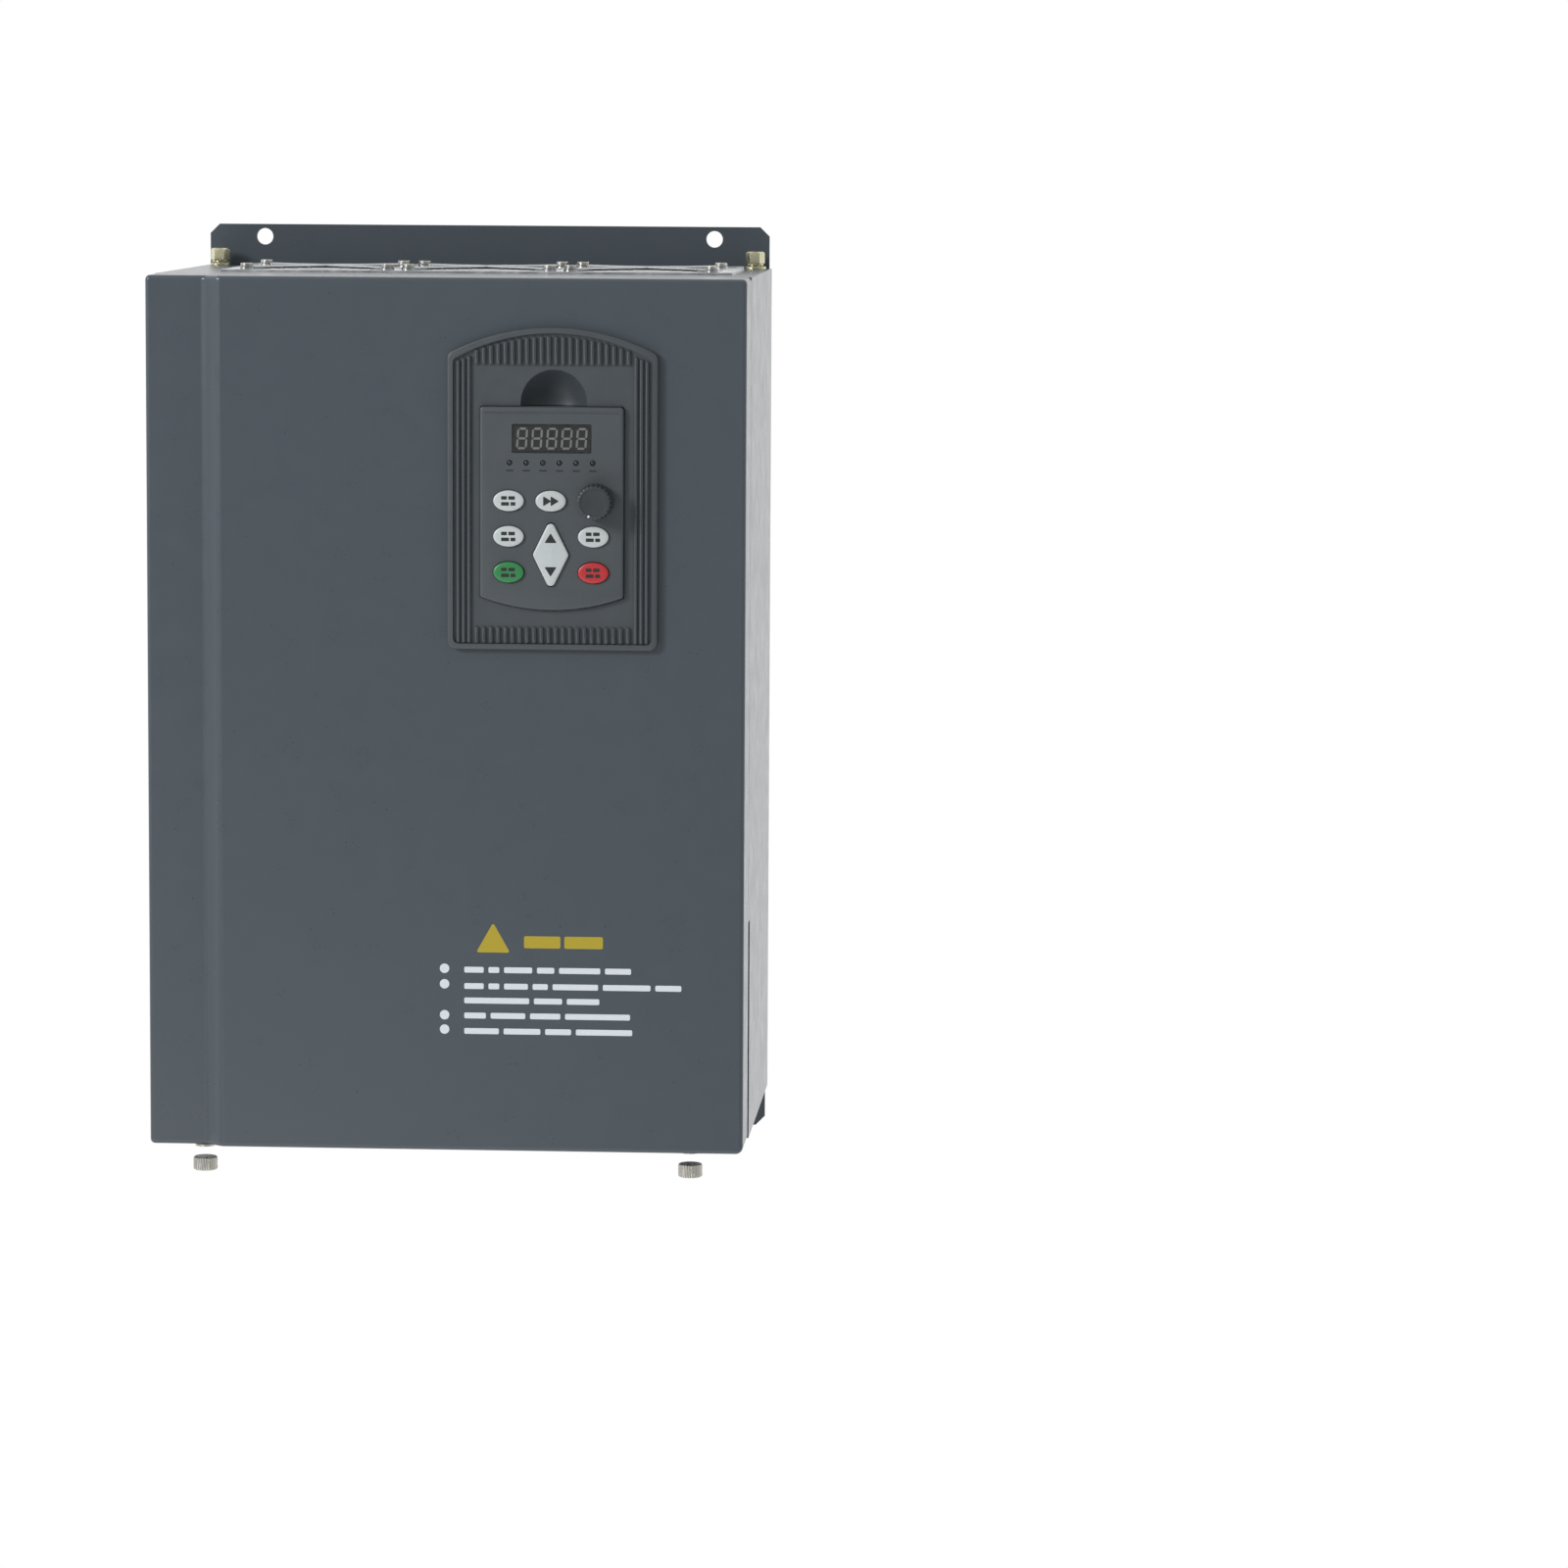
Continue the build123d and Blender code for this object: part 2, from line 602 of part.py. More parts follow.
def switching_transformer():
    """A ferrite core with its winding standing out of it."""
    core = block(CORE_X, (POWER_BOARD_Y - CORE_HEIGHT, POWER_BOARD_Y), CORE_Z)
    return core + block(WINDING_X, (POWER_BOARD_Y - WINDING_HEIGHT, POWER_BOARD_Y - 2), WINDING_Z)


def earth_studs():
    """A stud with two nuts and a washer on each side of the main terminals."""
    studs = []
    for x in (-STUD_X, STUD_X):
        stud = post_y(x, TERMINAL_SCREW_Z, (SINK_FRONT - STUD_LENGTH, SINK_FRONT), STUD_R)
        stud += hexagon_y(x, TERMINAL_SCREW_Z, (SINK_FRONT - 3.5, SINK_FRONT), NUT_ACROSS)
        stud += post_y(x, TERMINAL_SCREW_Z, (SINK_FRONT - 5, SINK_FRONT - 3.5), 6.0)
        outer_nut = (SINK_FRONT - 5 - NUT_HEIGHT, SINK_FRONT - 5)
        studs.append(stud + hexagon_y(x, TERMINAL_SCREW_Z, outer_nut, NUT_ACROSS))
    return group(studs)


def cable_grommets():
    """Rubber rings that grip the edges of the cable holes."""
    rings = []
    for x in CABLE_XS:
        ring = post_z(x, CABLE_Y, (BOTTOM - GROMMET_LIP, BOTTOM), GROMMET_R)
        ring += post_z(x, CABLE_Y, (BOTTOM - 1, BOTTOM + SHEET + 1), CABLE_HOLE_R - 0.05)
        ring += post_z(x, CABLE_Y, (BOTTOM + SHEET, BOTTOM + SHEET + GROMMET_LIP), GROMMET_R)
        rings.append(ring - bore(ring, CABLE_BORE_R))
    return group(rings)


# ---------------------------------------------------------------- control electronics
def control_shield():
    """A steel plate on posts, behind the control board."""
    return block(SHIELD_X, (SHIELD_Y, SHIELD_Y + SHIELD_SHEET), SHIELD_Z)


def control_board():
    return block(CONTROL_BOARD_X, (CONTROL_BOARD_Y, CONTROL_BOARD_Y + BOARD), CONTROL_BOARD_Z)


def control_connectors():
    """A row of screw terminals, with an entry hole below each screw, and the keypad's socket."""
    strip = block(STRIP_X, (CONTROL_BOARD_Y - STRIP_HEIGHT, CONTROL_BOARD_Y), STRIP_Z)
    for i in range(STRIP_WAYS):
        x = STRIP_FIRST + STRIP_PITCH * i
        strip -= post_y(x, sum(STRIP_Z) / 2, (CONTROL_BOARD_Y - 12, CONTROL_BOARD_Y - 8), 1.9)
        wire_way = (STRIP_Z[0] - 1, STRIP_Z[0] + 4)
        strip -= block((x - 1.6, x + 1.6), (CONTROL_BOARD_Y - 7, CONTROL_BOARD_Y - 3), wire_way)
    return group([strip, control_socket()])


def ribbon_cable():
    """A flat cable with a plug at each end, over the edge of the shield."""
    path = FilletPolyline((-20, -144), (-20, -184), (8, -184), (8, -177), radius=3)
    ribbon = extrude(Pos(0, 0, RIBBON_Z[0]) * trace(path, RIBBON_SHEET), RIBBON_Z[1] - RIBBON_Z[0])
    plug_z = (RIBBON_Z[0] - 1, RIBBON_Z[1] + 1)
    ribbon += block((-23, -17), (-145, POWER_BOARD_Y), plug_z)
    return ribbon + block((5, 11), (-178, CONTROL_BOARD_Y), plug_z)


def control_socket():
    """The socket that the cover's connector leaves when the cover comes off."""
    socket = block((40, 58), (SOCKET_FRONT, CONTROL_BOARD_Y), (86, 100))
    return socket - block((43.7, 54.3), (SOCKET_FRONT - 1, CONTROL_BOARD_Y - 1), (89.7, 96.3))


def tray_socket():
    """The connector behind the tray: the keypad plugs in in front, the control board behind."""
    socket = block((39, 59), (TRAY_BACK, SOCKET_FRONT - GAP), (84, 102))
    socket -= block((41.7, 56.3), (TRAY_BACK - 1, -181.3), (87.7, 98.3))
    return socket + block((44, 54), (SOCKET_FRONT - 1, SOCKET_FRONT + 3.7), (90, 96))


# ---------------------------------------------------------------- keypad tray
def arch_outline(inset):
    """The tray's outline: straight sides and a shallow arch on top."""
    left = TRAY_LEFT + inset
    right = TRAY_RIGHT - inset
    low = TRAY_BOTTOM + inset
    shoulder = TRAY_SHOULDER - inset
    middle = (left + right) / 2
    sides = Polyline((left, shoulder), (left, low), (right, low), (right, shoulder))
    arch = ThreePointArc((right, shoulder), (middle, TRAY_APEX - inset), (left, shoulder))
    outline = make_face(sides + arch)
    return fillet(outline.vertices(), 4 - inset / 2)


def tub_block(grow, y):
    """The part of the tray that goes through the cover, between two depths."""
    x = (PAD_LEFT - GAP - TRAY_WALL - grow, PAD_RIGHT + GAP + TRAY_WALL + grow)
    return block(x, y, (PAD_BOTTOM - GAP - TRAY_WALL - grow, TUB_TOP + grow))


def tray_ribs():
    """Upright ribs down both sides, and a comb of short ones above and below the field."""
    ribs = []
    depth = (TRAY_RIM, TRAY_FIELD)
    centre = (TRAY_LEFT + TRAY_RIGHT) / 2
    low = TRAY_BOTTOM + RIM_WIDTH + 0.4
    for i in range(UPRIGHT_RIBS):
        step = 5.0 + UPRIGHT_PITCH * i
        for x in (TRAY_LEFT + step, TRAY_RIGHT - step):
            ribs.append(block((x - 0.8, x + 0.8), depth, (low, TRAY_SHOULDER - 3 + i)))
    for i in range(COMB_RIBS):
        x = centre + COMB_PITCH * (i - (COMB_RIBS - 1) / 2)
        rise = (TRAY_APEX - TRAY_SHOULDER) * (1 - ((x - centre) / (centre - TRAY_LEFT)) ** 2)
        ribs.append(block((x - 0.95, x + 0.95), depth, (TUB_TOP, TRAY_SHOULDER - RIM_WIDTH - 1.4 + rise)))
        ribs.append(block((x - 0.95, x + 0.95), depth, (low, TRAY_BOTTOM + 10.4)))
    return ribs


def keypad_tray():
    tray = prism_y(arch_outline(0), (TRAY_RIM, FRONT))
    tray -= prism_y(arch_outline(RIM_WIDTH), (TRAY_RIM - 1, TRAY_FIELD))
    tray += tub_block(0, (FRONT - 1, TRAY_BACK))
    tray -= prism_y(keypad_outline(GAP), (TRAY_RIM - 1, TRAY_BACK - TRAY_WALL))
    ball = Pos(SCOOP_X, TRAY_FIELD - SCOOP_OUT, SCOOP_Z) * Sphere(SCOOP_R)
    tray -= ball & block((20, 80), (-240, -180), (SCOOP_Z - 2, SCOOP_Z + 30))
    tray -= block((41.6, 56.4), (TRAY_BACK - 3, TRAY_BACK + 1), (87.6, 98.4))
    return tray + tray_ribs()


# ---------------------------------------------------------------- keypad
def keypad_outline(grow):
    """Straight top and sides, with a curved bottom edge."""
    left = PAD_LEFT - grow
    right = PAD_RIGHT + grow
    sides = Polyline((left, PAD_SIDE_BOTTOM - grow), (left, PAD_TOP + grow), (right, PAD_TOP + grow),
                     (right, PAD_SIDE_BOTTOM - grow))
    bow = ThreePointArc((right, PAD_SIDE_BOTTOM - grow), ((left + right) / 2, PAD_BOTTOM - grow),
                        (left, PAD_SIDE_BOTTOM - grow))
    return fillet(make_face(sides + bow).vertices(), 1.5)


def diamond_outline(grow):
    half_w = DIAMOND_W / 2 + 0.3 + grow
    half_h = DIAMOND_H / 2 + 2.0 + grow
    outline = Polygon((half_w, 0), (0, half_h), (-half_w, 0), (0, -half_h), align=None)
    return Pos(KEY_MID_X, DIAMOND_Z) * fillet(outline.vertices(), 2.0)


def display_block(grow, y):
    """The display's front-view rectangle, between two depths."""
    x = (DISPLAY_X[0] - grow, DISPLAY_X[1] + grow)
    return block(x, y, (DISPLAY_Z[0] - grow, DISPLAY_Z[1] + grow))


def status_led_xs():
    return [STATUS_X + STATUS_PITCH * i for i in range(STATUS_LEDS)]


def keypad_front():
    """The face shell, with holes for the display, the LEDs, the keys and the knob's shaft."""
    shell = prism_y(keypad_outline(0), (PAD_FACE, PAD_SPLIT))
    shell -= prism_y(keypad_outline(-PAD_WALL), (PAD_FACE + PAD_SKIN, PAD_SPLIT + 1))
    cut = (PAD_FACE - 1, PAD_FACE + PAD_SKIN + 1)
    shell -= display_block(0.4, cut)
    shell -= [post_y(x, STATUS_Z, cut, STATUS_R + 0.15) for x in status_led_xs()]
    for x, z in OVAL_KEYS.values():
        shell -= prism_y(Pos(x, z) * Ellipse(KEY_RX + 0.25, KEY_RZ + 0.25), cut)
    shell -= prism_y(diamond_outline(0.45), cut)
    return shell - post_y(KNOB_X, KNOB_Z, cut, 3.6)


def keypad_back():
    """The rear shell, with four posts for the board and a hole for the plug."""
    inner_face = PAD_BACK - PAD_WALL
    shell = prism_y(keypad_outline(0), (PAD_SPLIT, PAD_BACK))
    shell -= prism_y(keypad_outline(-PAD_WALL), (PAD_SPLIT - 1, inner_face))
    shell += [post_y(x, z, (PAD_SPLIT, inner_face + 0.5), 2.5) for x in (22, 75) for z in (62, 134)]
    return shell - block((41.8, 56.2), (inner_face - 1, PAD_BACK + 1), (87.8, 98.2))


def keypad_board():
    return prism_y(keypad_outline(-PAD_WALL - 0.2), (BOARD_FRONT, PAD_SPLIT))


def led_display():
    return display_block(0, (PAD_FACE + 1.1, BOARD_FRONT))


def display_window():
    return display_block(0.25, (PAD_FACE + 0.1, PAD_FACE + 1.0))


def status_leds():
    y = (PAD_FACE + 0.2, BOARD_FRONT)
    return group([post_y(x, STATUS_Z, y, STATUS_R) for x in status_led_xs()])


def tact_switches():
    places = list(OVAL_KEYS.values())
    places += [(KEY_MID_X, DIAMOND_Z + shift) for shift in (STEM_SHIFT, -STEM_SHIFT)]
    switches = []
    for x, z in places:
        body = block((x - 3, x + 3), (SWITCH_TOP + 1, BOARD_FRONT), (z - 3, z + 3))
        switches.append(body + post_y(x, z, (SWITCH_TOP, SWITCH_TOP + 2), 1.7))
    return group(switches)


def potentiometer():
    half = 5.5
    x = (KNOB_X - half, KNOB_X + half)
    z = (KNOB_Z - half, KNOB_Z + half)
    body = block(x, (BOARD_FRONT - 5.4, BOARD_FRONT), z)
    return body - post_y(KNOB_X, KNOB_Z, (BOARD_FRONT - 6, BOARD_FRONT - 1), KNOB_SHAFT_R + 0.06)


def keypad_plug():
    return block((42, 56), (PAD_SPLIT, -181.6), (88, 98))


def oval_key(x, z):
    """A cap, a flange that keeps it behind the face, and a stem over its switch."""
    inner = PAD_FACE + PAD_SKIN
    key = prism_y(Pos(x, z) * Ellipse(KEY_RX, KEY_RZ), (PAD_FACE - KEY_PROUD, inner + 1))
    key += prism_y(Pos(x, z) * Ellipse(KEY_RX + 1, KEY_RZ + 1), (inner + 0.3, inner + 1.3))
    return key + post_y(x, z, (inner + 1, SWITCH_TOP - 0.8), STEM_R)


def diamond_key():
    """The rocker: a diamond cap on a flange and a pivot bar, with a stem over each of its two switches."""
    inner = PAD_FACE + PAD_SKIN
    key = prism_y(diamond_outline(0), (PAD_FACE - KEY_PROUD, inner + 1))
    flange_z = (DIAMOND_Z - 10.5, DIAMOND_Z + 10.5)
    key += block((KEY_MID_X - 6, KEY_MID_X + 6), (inner + 0.6, inner + 1.6), flange_z)
    key += post_x(PIVOT_Y, DIAMOND_Z, (KEY_MID_X - 8, KEY_MID_X + 8), PIVOT_R)
    for shift in (-STEM_SHIFT, STEM_SHIFT):
        key += post_y(KEY_MID_X, DIAMOND_Z + shift, (inner + 1, SWITCH_TOP - 0.8), STEM_R)
    return key


def knob():
    """A round knob with finger flutes, a pointer dimple and its shaft."""
    back = PAD_FACE - 0.4
    front = back - KNOB_LENGTH
    wheel = post_y(KNOB_X, KNOB_Z, (front, back), KNOB_R)
    for i in range(FLUTES):
        angle = 2 * pi / FLUTES * i
        flute = (KNOB_X + (KNOB_R + 0.25) * cos(angle), KNOB_Z + (KNOB_R + 0.25) * sin(angle))
        wheel -= post_y(*flute, (front - 1, back - 2), 0.7)
    pointer = radians(-110)
    wheel -= post_y(KNOB_X + 5.8 * cos(pointer), KNOB_Z + 5.8 * sin(pointer), (front - 1, front + 0.6), 0.9)
    return wheel + post_y(KNOB_X, KNOB_Z, (back - 1, BOARD_FRONT - 1.4), KNOB_SHAFT_R)


# ---------------------------------------------------------------- all pieces
os.makedirs("parts", exist_ok=True)
nodes = {
    "rear_panel": rear_panel(),
    "top_panel": top_panel(),
    "bottom_panel": bottom_panel(),
    "top_hex_bolts": top_hex_bolts(),
    "front_cover": front_cover(),
    "clinch_nuts": clinch_nuts(),
    "fan_tray": fan_tray(),
    "fan_screws": fan_screws(),
    "heatsink": heatsink(),
    "air_baffles": air_baffles(),
    "power_modules": power_modules(),
    "power_board": power_board(),
    "board_standoffs": board_standoffs(),
    "bus_capacitors": bus_capacitors(),
    "busbars": busbars(),
    "main_terminal_block": main_terminal_block(),
    "terminal_screws": terminal_screws(),
    "current_sensors": current_sensors(),
    "soft_start_relay": soft_start_relay(),
    "switching_transformer": switching_transformer(),
    "earth_studs": earth_studs(),
    "cable_grommets": cable_grommets(),
    "control_shield": control_shield(),
    "control_board": control_board(),
    "control_connectors": control_connectors(),
    "ribbon_cable": ribbon_cable(),
    "tray_socket": tray_socket(),
    "keypad_tray": keypad_tray(),
    "keypad_front": keypad_front(),
    "keypad_back": keypad_back(),
    "keypad_board": keypad_board(),
    "led_display": led_display(),
    "display_window": display_window(),
    "status_leds": status_leds(),
    "tact_switches": tact_switches(),
    "potentiometer": potentiometer(),
    "keypad_plug": keypad_plug(),
    "key_up_down": diamond_key(),
    "knob": knob(),
}
for side_name, side_sign in SIDES.items():
    nodes[f"{side_name}_side_panel"] = side_panel(side_sign)
    nodes[f"thumb_washer_{side_name}"] = thumb_washer(side_sign * THUMB_X)
    nodes[f"thumb_screw_{side_name}"] = thumb_screw(side_sign * THUMB_X)
for fan_name, fan_x in zip(FAN_NAMES, FAN_CENTRES):
    nodes[f"fan_frame_{fan_name}"] = fan_frame(fan_x)
    nodes[f"finger_guard_{fan_name}"] = finger_guard(fan_x)
    nodes[f"impeller_{fan_name}"] = impeller(fan_x)
for key_name, place in OVAL_KEYS.items():
    nodes[key_name] = oval_key(*place)

for name, shape in nodes.items():
    export_step(shape, f"parts/{name}.step")
print(len(nodes), "nodes")
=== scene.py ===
import math
import random

import bmesh
import bpy
from mathutils import Matrix, Vector


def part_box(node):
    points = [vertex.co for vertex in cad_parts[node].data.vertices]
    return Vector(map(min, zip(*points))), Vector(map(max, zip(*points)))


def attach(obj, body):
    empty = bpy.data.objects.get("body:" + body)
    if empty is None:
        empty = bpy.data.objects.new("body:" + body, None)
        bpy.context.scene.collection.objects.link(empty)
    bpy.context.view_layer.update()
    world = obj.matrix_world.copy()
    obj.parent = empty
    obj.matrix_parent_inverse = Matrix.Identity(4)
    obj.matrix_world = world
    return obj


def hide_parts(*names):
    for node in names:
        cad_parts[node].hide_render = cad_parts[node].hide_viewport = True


# The looks of a wall-mounted variable frequency drive, in the CAD's own frame:
# +X to the right seen from the front, +Y into the wall, +Z up, origin on the back face.
# Shapes are drawn in millimetres and turned into metres when a piece is made.

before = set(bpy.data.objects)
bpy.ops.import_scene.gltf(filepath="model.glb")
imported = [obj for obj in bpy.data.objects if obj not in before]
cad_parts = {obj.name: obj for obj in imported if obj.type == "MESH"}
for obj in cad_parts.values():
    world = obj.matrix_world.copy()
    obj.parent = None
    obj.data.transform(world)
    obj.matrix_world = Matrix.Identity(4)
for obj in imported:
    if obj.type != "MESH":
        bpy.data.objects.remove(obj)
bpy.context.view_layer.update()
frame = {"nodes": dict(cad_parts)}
nodes = frame["nodes"]
scene = bpy.context.scene
MM = 0.001


def limits(node):
    """A CAD node's box in millimetres, as (low, high) for each axis."""
    low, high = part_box(node)
    return [(a / MM, b / MM) for a, b in zip(low, high)]


def middle(node):
    """The centre of a CAD node's box, in millimetres."""
    return Vector([sum(pair) / 2 for pair in limits(node)])


def about(centre, half):
    """Low and high, the same distance either side of a centre."""
    return centre - half, centre + half


def widened(pair, margin):
    return pair[0] - margin, pair[1] + margin


def spread(pair, margin, count):
    """Evenly spaced places, the first and the last a margin in from the two ends."""
    first, last = widened(pair, -margin)
    return [first + (last - first) * k / (count - 1) for k in range(count)]


def put_in_scene(name, data):
    made = bpy.data.objects.new(name, data)
    scene.collection.objects.link(made)
    return made


# ------------ camera, floor and light
# The camera's place is in metres and its angles are in degrees.
CAMERA_PLACE = (0.29994, -2.85891, 0.27254)
CAMERA_YAW = -3.097
CAMERA_PITCH = -6.456
CAMERA_ROLL = 0.335
CAMERA_LENS = 134.57
FLOOR_Z = -1.1
FLOOR_R = 2400
WALL_IN_FRONT = 0.42  # how bright the white surroundings are, in front and behind
WALL_BEHIND = 1.25
# Each light: its place, what it points at and its size, in metres, and its power in watts.
LIGHTS = {"key_light": ((-2.3, -2.4, 1.4), (0, -0.1, 0), (0.9, 0.9), 88),
          "low_fill": ((-0.9, -2.6, -1.0), (0, -0.1, -0.1), (1.2, 0.6), 5)}


def set_sockets(target, **values):
    """Sets a shader node's inputs by name, with _ for each space."""
    for name, value in values.items():
        target.inputs[name.replace("_", " ")].default_value = value


def add_camera():
    """The camera, turned by yaw about +Z, then pitch, then roll about its own axis."""
    yaw, pitch, roll = (math.radians(a) for a in (CAMERA_YAW, CAMERA_PITCH, CAMERA_ROLL))
    ahead = Vector((math.sin(yaw) * math.cos(pitch), math.cos(yaw) * math.cos(pitch), math.sin(pitch)))
    level = Vector((math.cos(yaw), -math.sin(yaw), 0))
    rise = level.cross(ahead)
    right = math.cos(roll) * level + math.sin(roll) * rise
    up = math.cos(roll) * rise - math.sin(roll) * level
    data = bpy.data.cameras.new("camera")
    data.sensor_width = 36
    data.lens = CAMERA_LENS
    data.clip_start = 0.05
    data.clip_end = 60
    camera = put_in_scene("camera", data)
    turn = Matrix((right, up, -ahead)).transposed().to_4x4()
    camera.matrix_world = Matrix.Translation(CAMERA_PLACE) @ turn
    scene.camera = camera


def add_light(name, place, target, size, power):
    data = bpy.data.lights.new(name, "AREA")
    data.shape = "RECTANGLE"
    data.size, data.size_y = size
    data.energy = power
    light = put_in_scene(name, data)
    light.visible_camera = False
    aim = Vector(target) - Vector(place)
    light.matrix_world = Matrix.Translation(place) @ aim.to_track_quat("-Z", "Y").to_matrix().to_4x4()


def add_studio():
    """White walls all round, brighter behind the object than in front of it, and a pale floor."""
    world = bpy.data.worlds.new("studio")
    world.use_nodes = True
    tree = world.node_tree
    background = tree.nodes["Background"]
    set_sockets(background, Color=(1, 1, 1, 1))
    add, link = tree.nodes.new, tree.links.new
    split = add("ShaderNodeSeparateXYZ")
    link(add("ShaderNodeTexCoord").outputs["Generated"], split.inputs["Vector"])
    share = add("ShaderNodeMapRange")
    link(split.outputs["Y"], share.inputs["Value"])
    set_sockets(share, From_Min=-1, From_Max=0.6, To_Min=WALL_IN_FRONT, To_Max=WALL_BEHIND)
    seen = add("ShaderNodeMix")
    link(add("ShaderNodeLightPath").outputs["Is Camera Ray"], seen.inputs["Factor"])
    link(share.outputs["Result"], seen.inputs["A"])
    set_sockets(seen, B=1)
    link(seen.outputs["Result"], background.inputs["Strength"])
    scene.world = world
    scene.view_settings.view_transform = "Standard"
    for name, settings in LIGHTS.items():
        add_light(name, *settings)
    floor_form = Form()
    floor_form.rod((0, 0, FLOOR_Z / MM - 10), (0, 0, FLOOR_Z / MM), FLOOR_R, 96)
    floor_form.to_object("floor", PALE)


# ------------ materials
def linear(r, g, b):
    """A colour given as 8-bit sRGB, in linear light."""
    shares = [c / 255 for c in (r, g, b)]
    return [c / 12.92 if c <= 0.04045 else ((c + 0.055) / 1.055) ** 2.4 for c in shares] + [1]


def lighter(colour, factor):
    return [min(1, c * factor) for c in colour[:3]] + [1]


class Surface:
    """A node-based material: object coordinates drive its colour, its gloss and its relief."""

    def __init__(self, name, colour, roughness, metallic=0.0):
        self.material = bpy.data.materials.new(name)
        self.material.use_nodes = True
        self.tree = self.material.node_tree
        self.shader = self.tree.nodes["Principled BSDF"]
        self.colour = colour
        set_sockets(self.shader, Base_Color=colour, Roughness=roughness, Metallic=metallic)
        self.roughness = roughness
        self.place = self.tree.nodes.new("ShaderNodeTexCoord").outputs["Object"]
        self.paint = None

    def node(self, kind, **settings):
        made = self.tree.nodes.new(kind)
        for name, value in settings.items():
            setattr(made, name, value)
        return made

    def link(self, source, target):
        self.tree.links.new(source, target)

    def stretched(self, scale):
        """Object coordinates, scaled differently along each axis if a scale is given."""
        if scale is None:
            return self.place
        mapping = self.node("ShaderNodeMapping")
        set_sockets(mapping, Scale=scale)
        self.link(self.place, mapping.inputs["Vector"])
        return mapping.outputs["Vector"]

    def noise(self, scale, detail, stretch=None):
        made = self.node("ShaderNodeTexNoise")
        set_sockets(made, Scale=scale, Detail=detail)
        self.link(self.stretched(stretch), made.inputs["Vector"])
        return made.outputs["Fac"]

    def cells(self, scale, stretch=None):
        made = self.node("ShaderNodeTexVoronoi")
        set_sockets(made, Scale=scale)
        self.link(self.stretched(stretch), made.inputs["Vector"])
        return made

    def ranged(self, value, low, high, to_low, to_high):
        made = self.node("ShaderNodeMapRange")
        self.link(value, made.inputs["Value"])
        set_sockets(made, From_Min=low, From_Max=high, To_Min=to_low, To_Max=to_high)
        return made.outputs["Result"]

    def tint(self, amount, colour):
        """Mixes another colour in where amount is high."""
        mix = self.node("ShaderNodeMix", data_type="RGBA")
        self.link(amount, mix.inputs["Factor"])
        if self.paint is None:
            set_sockets(mix, A=self.colour)
        else:
            self.link(self.paint, mix.inputs["A"])
        set_sockets(mix, B=colour)
        self.paint = mix.outputs["Result"]
        self.link(self.paint, self.shader.inputs["Base Color"])
        return self

    def mottle(self, scale, depth, factor, stretch=None):
        """Slow changes of shade."""
        amount = self.ranged(self.noise(scale, 5, stretch), 0.3, 0.7, 0, depth)
        return self.tint(amount, lighter(self.colour, factor))

    def gloss(self, scale, spread, stretch=None):
        """Gloss that varies about its mean."""
        noise = self.noise(scale, 3, stretch)
        value = self.ranged(noise, 0.25, 0.75, self.roughness - spread, self.roughness + spread)
        self.link(value, self.shader.inputs["Roughness"])
        return self

    def relief(self, height, depth):
        """Bump from a height, depth in millimetres."""
        bump = self.node("ShaderNodeBump")
        set_sockets(bump, Distance=depth * MM, Strength=1)
        self.link(height, bump.inputs["Height"])
        self.link(bump.outputs["Normal"], self.shader.inputs["Normal"])
        return self


def powder_coat(name, colour):
    made = Surface(name, colour, 0.3)
    made.mottle(7, 0.3, 1.12).mottle(140, 0.2, 1.1)
    made.gloss(90, 0.04)
    made.relief(made.noise(500, 1), 0.006)
    return made.material


def plastic(name, colour, roughness, grain=0.02):
    made = Surface(name, colour, roughness)
    made.mottle(30, 0.4, 1.12).mottle(900, 0.25, 1.2)
    made.gloss(160, 0.06)
    made.relief(made.noise(2400, 3), grain)
    return made.material


def metal(name, colour, roughness, lines=(1, 1, 1), scale=300, depth=0.01):
    made = Surface(name, colour, roughness, 1.0)
    made.mottle(60, 0.6, 0.72).mottle(scale, 0.35, 0.8, lines)
    made.gloss(scale, 0.1, lines)
    made.relief(made.noise(scale * 3, 3, lines), depth)
    return made.material


def galvanised(name):
    made = Surface(name, linear(205, 207, 208), 0.34, 1.0)
    spangle = made.cells(140).outputs["Color"]
    made.tint(made.ranged(spangle, 0.2, 0.9, 0, 0.5), linear(160, 164, 168))
    made.gloss(200, 0.12)
    made.relief(made.noise(900, 3), 0.01)
    return made.material


def circuit_board(name, colour):
    """Solder mask over copper tracks, with plated holes."""
    made = Surface(name, colour, 0.3)
    made.mottle(25, 0.35, 0.7)
    tracks = made.node("ShaderNodeTexBrick", offset=0.37, squash=1.7)
    made.link(made.stretched((1, 0.001, 1)), tracks.inputs["Vector"])
    set_sockets(tracks, Scale=62, Mortar_Size=0.035, Brick_Width=0.9, Row_Height=0.16)
    made.tint(made.ranged(tracks.outputs["Fac"], 0, 1, 0, 0.8), lighter(colour, 2.1))
    holes = made.cells(210, (1, 0.001, 1)).outputs["Distance"]
    made.tint(made.ranged(holes, 0.1, 0.12, 1, 0), linear(190, 180, 130))
    made.relief(tracks.outputs["Fac"], 0.03)
    made.gloss(120, 0.08)
    return made.material


def glass(name, colour):
    made = Surface(name, colour, 0)
    made.mottle(40, 0.1, 0.96)
    set_sockets(made.shader, Transmission_Weight=1, IOR=1.49)
    return made.material


def ink(name, colour):
    made = Surface(name, colour, 0.5)
    made.mottle(1500, 0.5, 0.85)
    made.relief(made.noise(1800, 3), 0.006)
    return made.material


